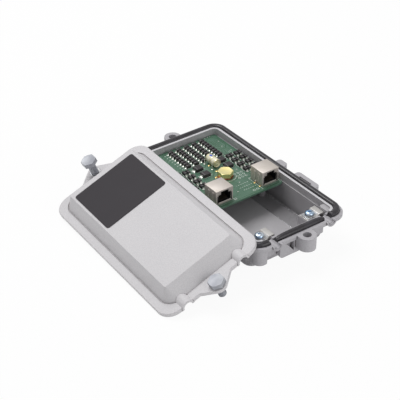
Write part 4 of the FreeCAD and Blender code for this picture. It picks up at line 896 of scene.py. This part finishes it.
# %% Rounded sheet metal
def softened(node, name, slot, material, reach):
    """A joined copy of a flat-faced node with its edges rounded."""
    flat, sharp = math.radians(1.0), math.radians(24)
    mesh = joined_copy(node)
    bmesh.ops.dissolve_limit(mesh, angle_limit=flat, verts=mesh.verts, edges=mesh.edges)
    edges = [edge for edge in mesh.edges if edge.is_manifold and edge.calc_face_angle() > sharp]
    round_edges(mesh, edges, reach)
    finish_piece(mesh, name, slot, [material], stands_for=[node], crease=40)


softened("cable_clamp_left", "left_cable_strap", "nickel", "nickel", 0.22 * MM)
softened("cable_clamp_right", "right_cable_strap", "nickel", "nickel", 0.22 * MM)
softened("clamp_square_washers", "strap_plates", "zinc_ring", "bright_zinc", 0.14 * MM)

# %% [markdown]
# The screws that hold the straps have pan heads. Such a head is a spun dome, and its
# cross recess is cut with a Boolean modifier, as a punch would press it.

# %% Cross recess screws
def carve(part, cutter):
    """Cut one closed shape out of another with a Boolean modifier."""
    made = [new_object("body", to_data("body", part)), new_object("tool", to_data("tool", cutter))]
    cut = made[0].modifiers.new("cut", "BOOLEAN")
    cut.operation, cut.solver, cut.use_self, cut.object = "DIFFERENCE", "EXACT", True, made[1]
    result = evaluated(made[0])
    for item in made:
        data = item.data
        bpy.data.objects.remove(item)
        bpy.data.meshes.remove(data)
    return result


def cross_cutter(top, length):
    """Two tapering blades, crossed."""
    width, depth, sunk = mm(0.85, 2.0, 0.45)
    cutter = bmesh.new()
    for turn in (0.5, 0.5 + math.pi / 2):
        blade = block((length, width, depth))
        for vert in blade.verts:
            if vert.co.z < 0:
                vert.co.x *= 0.55
                vert.co.y *= 0.7
        place_part(cutter, blade, at(0, 0, top - sunk) @ Matrix.Rotation(turn, 4, "Z"))
    return cutter


def clamp_screws():
    """The two pan head screws; the dome is shares of the radius and heights in mm."""
    dome = (
        (0.0, 0.0), (0.96, 0.0), (1.0, 0.25), (0.98, 0.75), (0.88, 1.45), (0.68, 2.0),
        (0.38, 2.32), (0.0, 2.4),
    )
    mesh = bmesh.new()
    for low, high in solid_boxes("clamp_screws"):
        radius = (high.x - low.x) / 2
        foot = high.z - dome[-1][1] * MM
        head = lathe([(share * radius, foot + rise * MM) for share, rise in dome], 40)
        head = carve(head, cross_cutter(high.z, radius * 1.25))
        shank = threaded_rod(mm(2.0, 1.6, 0.8), foot + 0.2 * MM, low.z, 16)
        for part in (head, shank):
            place_part(mesh, part, over(low, high))
    finish_piece(
        mesh, "strap_screws", "zinc_ring", ["blue_zinc"], stands_for=["clamp_screws"], crease=30,
    )


clamp_screws()

# %% [markdown]
# ## Modular jacks
#
# A jack's shield is thin tinned sheet, folded round the insert, with two sprung tongues
# on each side and a seam at the back. The folded shell is the rounded CAD solid.
# Tongues and seam are separate thin pressings on its faces, and two soldered tabs hold
# it to the board. Dark bars stand for the stepped edge of the mouth.

# %% Jack shells and tongues
BOARD_TOP = 25.0 * MM
TONGUE = ((0.3, 2.0, 7.0), 0.1, (0.1, 0.0, 0.4))
BEAD = ((0.36, 1.0, 1.6), 0.15, (0.22, 0.0, -1.6))
TAB = ((0.5, 1.5, 2.0), 0.1, (0.25, 1.0, 0.6))


def press_on(mesh, shape, anchor, out):
    """A pressing: size, rounding and offset in mm, set outwards from an anchor."""
    size, rounding, (away, along, up) = shape
    offset = Vector(mm(out * away, along, up))
    place_part(mesh, block(mm(*size), rounding * MM), at(*(anchor + offset)))


def solder_mound(radius, height):
    """A small cone of solder with a concave flank."""
    return lathe([
        (0.0, -0.02 * MM), (radius, -0.02 * MM), (radius, 0.03 * MM), (radius * 0.72, height * 0.2),
        (radius * 0.5, height * 0.5), (radius * 0.36, height * 0.85), (0.0, height),
    ], 12)


def jack_trim(side):
    """Tongues, back seam, soldered tabs and mouth of one jack."""
    low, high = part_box("jack_%s_shield" % side)
    middle = (low + high) / 2
    mesh = bmesh.new()
    for x, out in ((low.x, -1.0), (high.x, 1.0)):
        for y in (low.y + 4.2 * MM, low.y + 9.4 * MM):
            for shape in (TONGUE, BEAD):
                press_on(mesh, shape, Vector((x, y, middle.z)), out)
        press_on(mesh, TAB, Vector((x, middle.y, BOARD_TOP)), out)
    seam = ((high.x - low.x) / MM - 1.0, 0.3, 0.5), 0.1, (0.0, 0.08, -3.2)
    press_on(mesh, seam, Vector((middle.x, high.y, high.z)), 1.0)
    finish_piece(mesh, "jack_%s_tongues" % side, "tin", ["tinned_shield"])
    mouth = bmesh.new()
    for inner, outer, bottom, top in ((6.0, 6.9, 1.0, 8.0), (3.1, 3.6, 8.6, 11.4)):
        for sign in (-1, 1):
            x, z = mm(sign * (inner + outer) / 2, (bottom + top) / 2)
            bar = block(mm(outer - inner, 0.16, top - bottom))
            place_part(mouth, bar, at(middle.x + x, low.y, BOARD_TOP + z))
    finish_piece(mouth, "jack_%s_mouth" % side, "black_plastic")
    mounds = bmesh.new()
    beside, tab_y, pin_y = 0.7 * MM, middle.y + 1.0 * MM, low.y + 2.2 * MM
    for x in (low.x - beside, high.x + beside):
        for y, size in ((tab_y, mm(1.0, 0.8)), (pin_y, mm(0.8, 0.6))):
            place_part(mounds, solder_mound(*size), at(x, y, BOARD_TOP))
    finish_piece(mounds, "jack_%s_solder" % side, "gold", ["gold_flash"])


for jack_side in ("left", "right"):
    shield, shell = "jack_%s_shield" % jack_side, "jack_%s_shell" % jack_side
    softened(shield, shell, "tin", "tinned_shield", 0.16 * MM)
    jack_trim(jack_side)

# %% [markdown]
# ## Surge diodes
#
# Many small diodes fill the board. Each is a block of black epoxy, pressed in two
# halves that both taper away from a parting line, with a grey band at the cathode. Its
# leads leave at that line, fold down and stand on a soldered pad. One package and one
# lead are modelled with few faces, then placed at every solid that the CAD has.

# %% Packages and leads
def package(size):
    """A moulded package about its centre, drafted both ways from its parting line."""
    part = block(size)
    everything = part.verts[:] + part.edges[:] + part.faces[:]
    bmesh.ops.bisect_plane(
        part, geom=everything, dist=1e-7, plane_co=(0, 0, 0), plane_no=(0, 0, 1),
    )
    for vert in part.verts:
        if abs(vert.co.z) > size.z * 0.25:
            vert.co.x -= math.copysign(0.16 * MM, vert.co.x)
            vert.co.y -= math.copysign(0.16 * MM, vert.co.y)
    edges = [edge for edge in part.edges if edge.calc_face_angle() > math.radians(30)]
    round_edges(part, edges, 0.1 * MM, 1)
    return part


def bent_lead(width, reach):
    """A flat lead from a package's side, folded down to a foot; it points along +x."""
    exit_height, fold, foot = 1.15, 0.2, 0.1
    path = (
        (-0.15, exit_height), (0.2 * reach, exit_height), (0.3 * reach, fold),
        (0.5 * reach, foot), (reach, foot),
    )
    part = bmesh.new()
    verts = [part.verts.new((x * MM, -width / 2, z * MM)) for x, z in path]
    edges = [part.edges.new(pair) for pair in zip(verts, verts[1:])]
    out = bmesh.ops.extrude_edge_only(part, edges=edges)["geom"]
    moved = [item for item in out if isinstance(item, bmesh.types.BMVert)]
    bmesh.ops.translate(part, vec=(0, width, 0), verts=moved)
    bmesh.ops.solidify(part, geom=part.faces[:], thickness=0.16 * MM)
    return face_out(part)


def fillet_of_solder(reach, width):
    """Solder on a pad: a low block that slopes up to the lead."""
    part = block((reach, width, 0.5 * MM))
    for vert in part.verts:
        if vert.co.z > 0:
            vert.co.y *= 0.72
            if vert.co.x > 0:
                vert.co.x *= 0.45
                vert.co.z *= 0.1
    round_edges(part, part.edges[:], 0.07 * MM, 1)
    return part


def diode_bank(bank, reach):
    """All packages, leads, pads and solder of one bank; reach is a lead's, in mm."""
    bodies = solid_boxes("%s_diode_bodies" % bank)
    size = bodies[0][1] - bodies[0][0]
    along, across = (0, 1) if size.x > size.y else (1, 0)
    centres = [(low + high) / 2 for low, high in bodies]
    band_size = Vector(size)
    band_size[along], band_size.z = mm(0.62, 0.06)
    band_size[across] -= 0.7 * MM
    band_shift = Vector((0.0, 0.0, size.z / 2))
    band_shift[along] = -size[along] * 0.29
    mesh = bmesh.new()
    shape, band = package(size), block(band_size)
    for centre in centres:
        place_part(mesh, shape, at(*centre), 0, keep=True)
        place_part(mesh, band, at(*(centre + band_shift)), 1, keep=True)
    shape.free()
    band.free()
    finish_piece(mesh, "%s_diodes" % bank, "package", ["package", "package_band"],
                 stands_for=["%s_diode_bodies" % bank], crease=28)
    metal = bmesh.new()
    for low, high in solid_boxes("%s_diode_leads" % bank):
        centre, span = (low + high) / 2, high - low
        nearest = min(centres, key=lambda spot: (spot - centre).length)
        outward = Vector((0.0, 0.0, 0.0))
        outward[along] = math.copysign(1.0, centre[along] - nearest[along])
        root = Vector((centre.x, centre.y, BOARD_TOP)) - outward * (span[along] / 2)
        turn = math.atan2(outward.y, outward.x)
        placed = at(*root) @ Matrix.Rotation(turn, 4, "Z")
        width = span[across]
        pad = block((reach * MM + 0.5 * MM, width + 0.5 * MM, 0.06 * MM))
        solder = fillet_of_solder(reach * MM * 0.62, width + 0.25 * MM)
        for part, x, z in ((bent_lead(width, reach), 0.0, 0.0), (pad, 0.55, 0.03),
                           (solder, 0.72, 0.22)):
            place_part(metal, part, placed @ at(*mm(reach * x, 0.0, z)))
    finish_piece(metal, "%s_diode_terminals" % bank, "tin_lead", ["tinned_lead"],
                 stands_for=["%s_diode_leads" % bank], crease=30)


for bank_name, lead_reach in (("rear", 1.05), ("left", 1.05), ("right", 1.05), ("power", 1.25)):
    diode_bank(bank_name, lead_reach)

# %% [markdown]
# ## Gas discharge tube
#
# Two ceramic sleeves are brazed between metal end caps and a middle ring. All of it is
# round about one axis, so one profile is spun, and the faces take their material from
# where they lie along the axis. The wire leads are lathed pins with solder at the foot.

# %% Tube and pins
HALF_TUBE = (
    (0.0, 0.0), (0.45, 0.0), (0.5, 0.035), (0.84, 0.035), (0.93, 0.0), (0.96, 0.02), (0.96, 0.1),
    (0.9, 0.12), (0.93, 0.15), (0.94, 0.3), (0.93, 0.4), (0.9, 0.42), (0.99, 0.43), (1.0, 0.45),
)


def gas_tube():
    """The tube, laid along y, with its blue polarity mark."""
    front, rear = (corner.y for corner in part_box("gas_tube_caps"))
    low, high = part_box("gas_tube_body")
    length = rear - front
    radius = (high.x - low.x) / 2 * 0.9
    profile = HALF_TUBE + tuple((r, 1.0 - z) for r, z in reversed(HALF_TUBE))
    part = lathe([(r * radius, z * length) for r, z in profile], 40)
    for face in part.faces:
        place = face.calc_center_median()
        share = place.z / length
        sleeve = 0.13 < share < 0.41 or 0.59 < share < 0.87
        face.material_index = 0 if sleeve else 1
        if 0.62 < share < 0.85 and place.x > 0 and abs(place.y) < place.x * 0.3:
            face.material_index = 2
    quarter = -math.pi / 2
    laid = Matrix.Rotation(quarter, 4, "X") @ Matrix.Rotation(quarter, 4, "Z")
    centre = at((low.x + high.x) / 2, front, (low.z + high.z) / 2)
    mesh = from_data(to_data("part", part), centre @ laid)
    face_out(mesh)
    finish_piece(mesh, "gas_tube", "ceramic", ["cream_ceramic", "tube_cap", "blue_mark"],
                 stands_for=["gas_tube_body", "gas_tube_caps"], crease=34)


def tube_pins():
    """Round pins beside the tube and their solder."""
    mesh = bmesh.new()
    for low, high in solid_boxes("gas_tube_leads"):
        radius = (high.x - low.x) / 2 * 0.8
        pin = lathe([
            (0.0, low.z), (radius, low.z), (radius, high.z - 0.3 * MM),
            (radius * 0.8, high.z), (0.0, high.z + 0.05 * MM),
        ], 16)
        place_part(mesh, pin, over(low, high))
        place_part(mesh, solder_mound(*mm(1.0, 0.8)), over(low, high, BOARD_TOP))
    finish_piece(mesh, "gas_tube_pins", "gold", ["tinned_lead"], stands_for=["gas_tube_leads"])


gas_tube()
tube_pins()

# %% [markdown]
# ## Ground stud
#
# The earth connection is a brass hexagon screw over a copper ring. The same hexagon
# head as on the cover serves here, in other sizes, and the ring gets small teeth that
# bite: alternate pairs of outer points of a spun ring are drawn in.

# %% Brass screw and toothed ring
def ground_stud():
    """The brass hexagon screw."""
    low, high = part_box("ground_bolt")
    foot = high.z - HEAD_HEIGHT
    mesh = bmesh.new()
    place_part(mesh, hex_head(high.y - low.y, HEAD_HEIGHT), over(low, high, foot))
    place_part(mesh, threaded_rod(mm(3.0, 2.5, 1.0), foot, low.z, 16), over(low, high))
    finish_piece(mesh, "ground_screw", "brass", stands_for=["ground_bolt"], crease=24)


def toothed_ring():
    """The copper ring under the brass screw."""
    steps = 48
    low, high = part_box("ground_ring")
    radius = (high.x - low.x) / 2 * 0.93
    thick = high.z - low.z
    hole = (0.45, 0.0)
    section = (hole, (1.0, 0.0), (1.0, 0.8), (0.97, 1.0), (0.8, 1.0), (0.45, 1.0), hole)
    part = lathe([(share * radius, rise * thick) for share, rise in section], steps)
    for vert in part.verts:
        step = round(math.atan2(vert.co.y, vert.co.x) / math.tau * steps) % 4
        if vert.co.xy.length > radius * 0.9 and step < 2:
            vert.co.xy = vert.co.xy * 0.955
    mesh = bmesh.new()
    place_part(mesh, part, over(low, high, low.z))
    finish_piece(
        mesh, "ground_star_ring", "copper", stands_for=["ground_ring"], crease=30,
    )


ground_stud()
toothed_ring()

# %% [markdown]
# ## Tracks on the board
#
# Copper tracks show through the mask as slightly raised, darker lines. Each route is a
# line of a flat curve with a round bevel, made a mesh and pressed flat, so that only
# its crown stands above the board.

# %% Raised lines and routes
def flat_lines(name, routes, width, rise, material):
    """Thin raised lines on the board from routes given in millimetres."""
    curve = bpy.data.curves.new(name, "CURVE")
    curve.dimensions = "3D"
    curve.bevel_depth = width * MM / 2
    curve.bevel_resolution = 1
    curve.use_fill_caps = True
    for route in routes:
        line = curve.splines.new("POLY")
        line.points.add(len(route) - 1)
        for point, (x, y) in zip(line.points, route):
            point.co = (x * MM, y * MM, 0.0, 1.0)
    item = new_object(name + "_curve", curve)
    flatten = Matrix.Diagonal((1.0, 1.0, rise / (width / 2), 1.0))
    mesh = evaluated(item, at(0, 0, BOARD_TOP) @ flatten)
    bpy.data.objects.remove(item)
    bpy.data.curves.remove(curve)
    face_out(mesh)
    finish_piece(mesh, name, "board", [material], crease=60)


def track_routes():
    """Tracks from the jacks past the side banks to the rear bank and the tube."""
    routes = [
        [(-4.6, 27.3), (-2.0, 27.3), (0.4, 30.0)], [(-4.6, 37.3), (-2.4, 37.3), (0.4, 40.5)],
        [(8.4, 27.3), (5.6, 27.3), (3.0, 25.2)], [(17.6, 27.3), (19.0, 27.3)],
        [(17.6, 37.3), (19.0, 37.3)], [(-11.6, -10.0), (-6.0, -10.0), (2.0, -2.0), (2.0, 10.0)],
        [(15.6, -8.5), (9.0, -8.5), (4.0, -3.5), (4.0, 10.0)],
    ]
    for i in range(4):
        left, right = -31.8 + 1.1 * i, 24.0 + 1.7 * i
        x = -30.6 + 3.6 * i
        routes.append([(x, 12.2), (x, 5.0 + 0.6 * i), (-24.4 + 1.4 * i, 3.2)])
        routes.append([(x, 41.4), (x, 44.5), (left, 48.0), (left, 70.0 - i)])
        x = 20.9 + 3.6 * i
        routes.append([(x, 12.2), (x, 5.0 + 0.6 * i), (20.4 + 1.4 * i, 3.2)])
        routes.append([(x, 41.4), (x, 46.0 - i), (right, 50.0), (right, 68.0 - i)])
        y = 69.6 - 3.45 * i
        routes.append([(-16.6, y + 0.9), (-20.5, y + 0.9), (-27.5, y - 6.0)])
        routes.append([(20.0, y - 0.9), (22.5, y - 0.9), (25.0 + i, y - 4.5)])
    return routes


def cut_loop(left, right, front, rear, cut):
    """A rectangle with cut corners, where a copper area ends."""
    return [
        (left + cut, front), (right - cut, front), (right, front + cut), (right, rear - cut),
        (right - cut, rear), (left + cut, rear), (left, rear - cut), (left, front + cut),
        (left + cut, front),
    ]


POURS = (
    (-33.2, 33.2, -14.8, 73.2, 2.0), (21.5, 31.8, 51.5, 71.5, 3.5), (-6.2, 12.2, 8.2, 26.6, 5.0),
)
flat_lines("copper_tracks", track_routes(), 0.75, 0.045, "routed_mask")
flat_lines("pour_seams", [cut_loop(*pour) for pour in POURS], 0.9, 0.03, "routed_mask")

# %% [markdown]
# The white print is made the same way: outlines beside the diodes, ticks at their
# poles and plain marks elsewhere, of a general kind and with no words.

# %% Printed marks
def dash(x, y, right, back=0.0):
    """A straight stroke from a point."""
    return [(x, y), (x + right, y + back)]


def diode_marks():
    """Strokes beside each diode and a tick at its marked end."""
    routes = []
    for bank in ("rear", "left", "right", "power"):
        for low, high in solid_boxes("%s_diode_bodies" % bank):
            (left, front), (right, rear) = low.xy / MM, high.xy / MM
            wide, deep = right - left, rear - front
            if wide > deep:
                routes += [dash(left + 0.2, y, wide - 0.4) for y in (front - 0.28, rear + 0.28)]
                routes.append(dash(left - 1.75, front + 0.5, 0.0, deep - 1.0))
            else:
                sides = (left - 0.28, right + 0.28)
                routes += [dash(x, front + 0.2, 0.0, deep - 0.4) for x in sides]
                routes.append(dash(left + 0.5, front - 1.5, wide - 1.0))
    return routes


def plain_marks():
    """Crosses, rows of strokes, diamonds, boxes, an arc and the jacks' outlines."""
    routes = []
    for row in range(8):
        y = 69.4 - 3.45 * (row % 4) - 14.3 * (row // 4)
        for x in (-19.2, 20.6):
            routes += [dash(x - 0.5, y, 1.0), dash(x, y - 0.5, 0.0, 1.0)]
    routes += [dash(x, y, 1.6) for x in (-24.6, -16.4, 18.8, 27.0) for y in (44.2, 45.6)]
    routes += [
        dash(0.8 + 2.1 * column - y * 0.2, y, 1.2)
        for column in range(6) for y in (0.6, -3.4, -7.4)
    ]
    routes += [
        [(x - 1.1, y), (x, y + 1.1), (x + 1.1, y), (x, y - 1.1), (x - 1.1, y)]
        for x in (10.4, 13.6, 16.8) for y in (8.6, 11.8, 15.0)
    ]
    routes += [
        [(x, y), (x + 2.0, y), (x + 2.0, y + 1.6), (x, y + 1.6), (x, y)]
        for x, y in ((-11.2, -13.8), (8.2, -12.6), (11.6, -12.6))
    ]
    angles = [0.2618 * step for step in range(13, 22)]
    routes.append([(3.0 + 8.6 * math.cos(a), 17.4 + 8.6 * math.sin(a)) for a in angles])
    routes += [
        [(x - 8.9, -14.6), (x - 8.9, 3.9), (x + 8.9, 3.9), (x + 8.9, -14.6)]
        for x in (-20.2, 24.5)
    ]
    return routes


flat_lines("board_outlines", diode_marks() + plain_marks(), 0.3, 0.05, "board_print")

# %% [markdown]
# Plated holes are small spun eyelets, scattered between the tracks. Three gilded pads
# by the tube and the stud are plain mounds of solder.

# %% Plated holes and pads
def plated_holes():
    """Eyelets scattered between the tracks."""
    section = ((0.22, 0.0), (0.55, 0.0), (0.55, 0.04), (0.24, 0.06), (0.22, 0.0))
    eyelet = lathe([mm(*point) for point in section], 12)
    places = [(-30.5, 46.0), (-27.0, 60.0), (30.4, 46.0), (27.6, 55.0), (30.2, 63.0)]
    places += [(6.4, 3.6), (-2.6, -6.4)] + [(23.4 + 2.6 * step, 73.0) for step in range(3)]
    for step in range(4):
        places += [(-8.5 + 2.4 * step, 5.6), (16.2, 20.0 + 5.0 * step), (-15.6, 12.0 + 7.4 * step)]
    mesh = bmesh.new()
    for x, y in places:
        place_part(mesh, eyelet, at(x * MM, y * MM, BOARD_TOP), keep=True)
    eyelet.free()
    finish_piece(mesh, "plated_holes", "tin_lead", ["tinned_lead"])


def gilded_pads():
    """Mounds beside the tube and the stud."""
    mesh = bmesh.new()
    for x, y in ((1.9, 37.4), (1.7, 27.1), (-4.0, 20.2)):
        place_part(mesh, solder_mound(*mm(1.15, 0.8)), at(x * MM, y * MM, BOARD_TOP))
    finish_piece(mesh, "gilded_pads", "gold", ["gold_flash"])


plated_holes()
gilded_pads()

# %% [markdown]
# ## Stage, light and camera
#
# The photograph is a soft studio shot from in front of the left corner. A broad lamp
# hangs above and behind the object, a weak one stands low in front, and a pale world
# fills the rest. The paper floor is lit as any matt surface, but the camera and
# reflections see it mixed with plain white, so the object's shadow stays faint.

# %% Floor and light
def add_floor():
    """A plain pale floor."""
    mesh = bmesh.new()
    bmesh.ops.create_grid(mesh, x_segments=1, y_segments=1, size=6.0)
    floor = new_object("floor", to_data("floor", mesh))
    tree, mix = new_material("floor_paper", "MixShader")
    rays = add(tree, "LightPath").outputs
    seen = math_node(tree, "MAXIMUM", rays["Is Camera Ray"], rays["Is Glossy Ray"])
    seen = math_node(tree, "MAXIMUM", seen, rays["Is Transmission Ray"])
    paper = add(tree, "BsdfDiffuse", Color=(0.9, 0.9, 0.9, 1.0))
    white = add(tree, "Emission", Color=(1.0, 1.0, 1.0, 1.0), Strength=1.0)
    sources = (times(tree, seen, 0.94), paper.outputs[0], white.outputs[0])
    for slot, source in enumerate(sources):
        feed(tree, source, mix, slot)
    floor.data.materials.append(M["floor_paper"])


def add_area(name, place, size, power):
    """A square soft light aimed at the object."""
    target = Vector((-0.03, 0.0, 0.02))
    lamp = bpy.data.lights.new(name, "AREA")
    lamp.size = size
    lamp.energy = power
    item = new_object(name, lamp)
    item.location = place
    item.rotation_euler = (target - Vector(place)).to_track_quat("-Z", "Y").to_euler()


def add_world(strength):
    """An even pale surround, seen white by the camera and brighter by reflections."""
    world = bpy.data.worlds.new("studio")
    world.use_nodes = True
    tree = world.node_tree
    background = tree.nodes["Background"]
    background.inputs["Color"].default_value = (1.0, 1.0, 1.0, 1.0)
    rays = add(tree, "LightPath").outputs
    shine = times(tree, rays["Is Glossy Ray"], 0.3)
    extra = scaled(tree, rays["Is Camera Ray"], 1.0 - strength, shine)
    feed(tree, math_node(tree, "ADD", extra, strength), background, "Strength")
    bpy.context.scene.world = world


add_floor()
add_world(0.36)
add_area("key", (-0.16, 0.62, 1.42), 1.0, 15.3)
add_area("fill", (0.3, -1.35, 0.6), 1.1, 6.2)
print("lamps:", [item.name for item in bpy.data.lights])

# %% [markdown]
# The camera stands where the photographer's did. It looks down at about 34 degrees
# through a long lens, so that parallel edges hardly converge. Its three axes are built
# from an azimuth, an elevation and a slight roll.

# %% Camera
def add_camera():
    """The photograph's view: place, azimuth, elevation, roll and a long lens."""
    azimuth, elevation, roll = (math.radians(value) for value in (-35.76, 34.16, -0.39))
    back = Vector((
        math.sin(azimuth) * math.cos(elevation),
        -math.cos(azimuth) * math.cos(elevation),
        math.sin(elevation),
    ))
    right = Vector((math.cos(azimuth), math.sin(azimuth), 0.0))
    up = back.cross(right)
    right = right * math.cos(roll) + up * math.sin(roll)
    up = back.cross(right)
    data = bpy.data.cameras.new("camera")
    data.lens = 108.0
    data.sensor_width = 36.0
    data.clip_start = 0.01
    item = new_object("camera", data)
    turn = Matrix((right, up, back)).transposed().to_4x4()
    item.matrix_world = at(-0.47902, -0.61722, 0.54274) @ turn
    bpy.context.scene.camera = item
    print("camera, azimuth and elevation:", math.degrees(azimuth), math.degrees(elevation))


add_camera()
bpy.context.scene.view_settings.view_transform = "Standard"
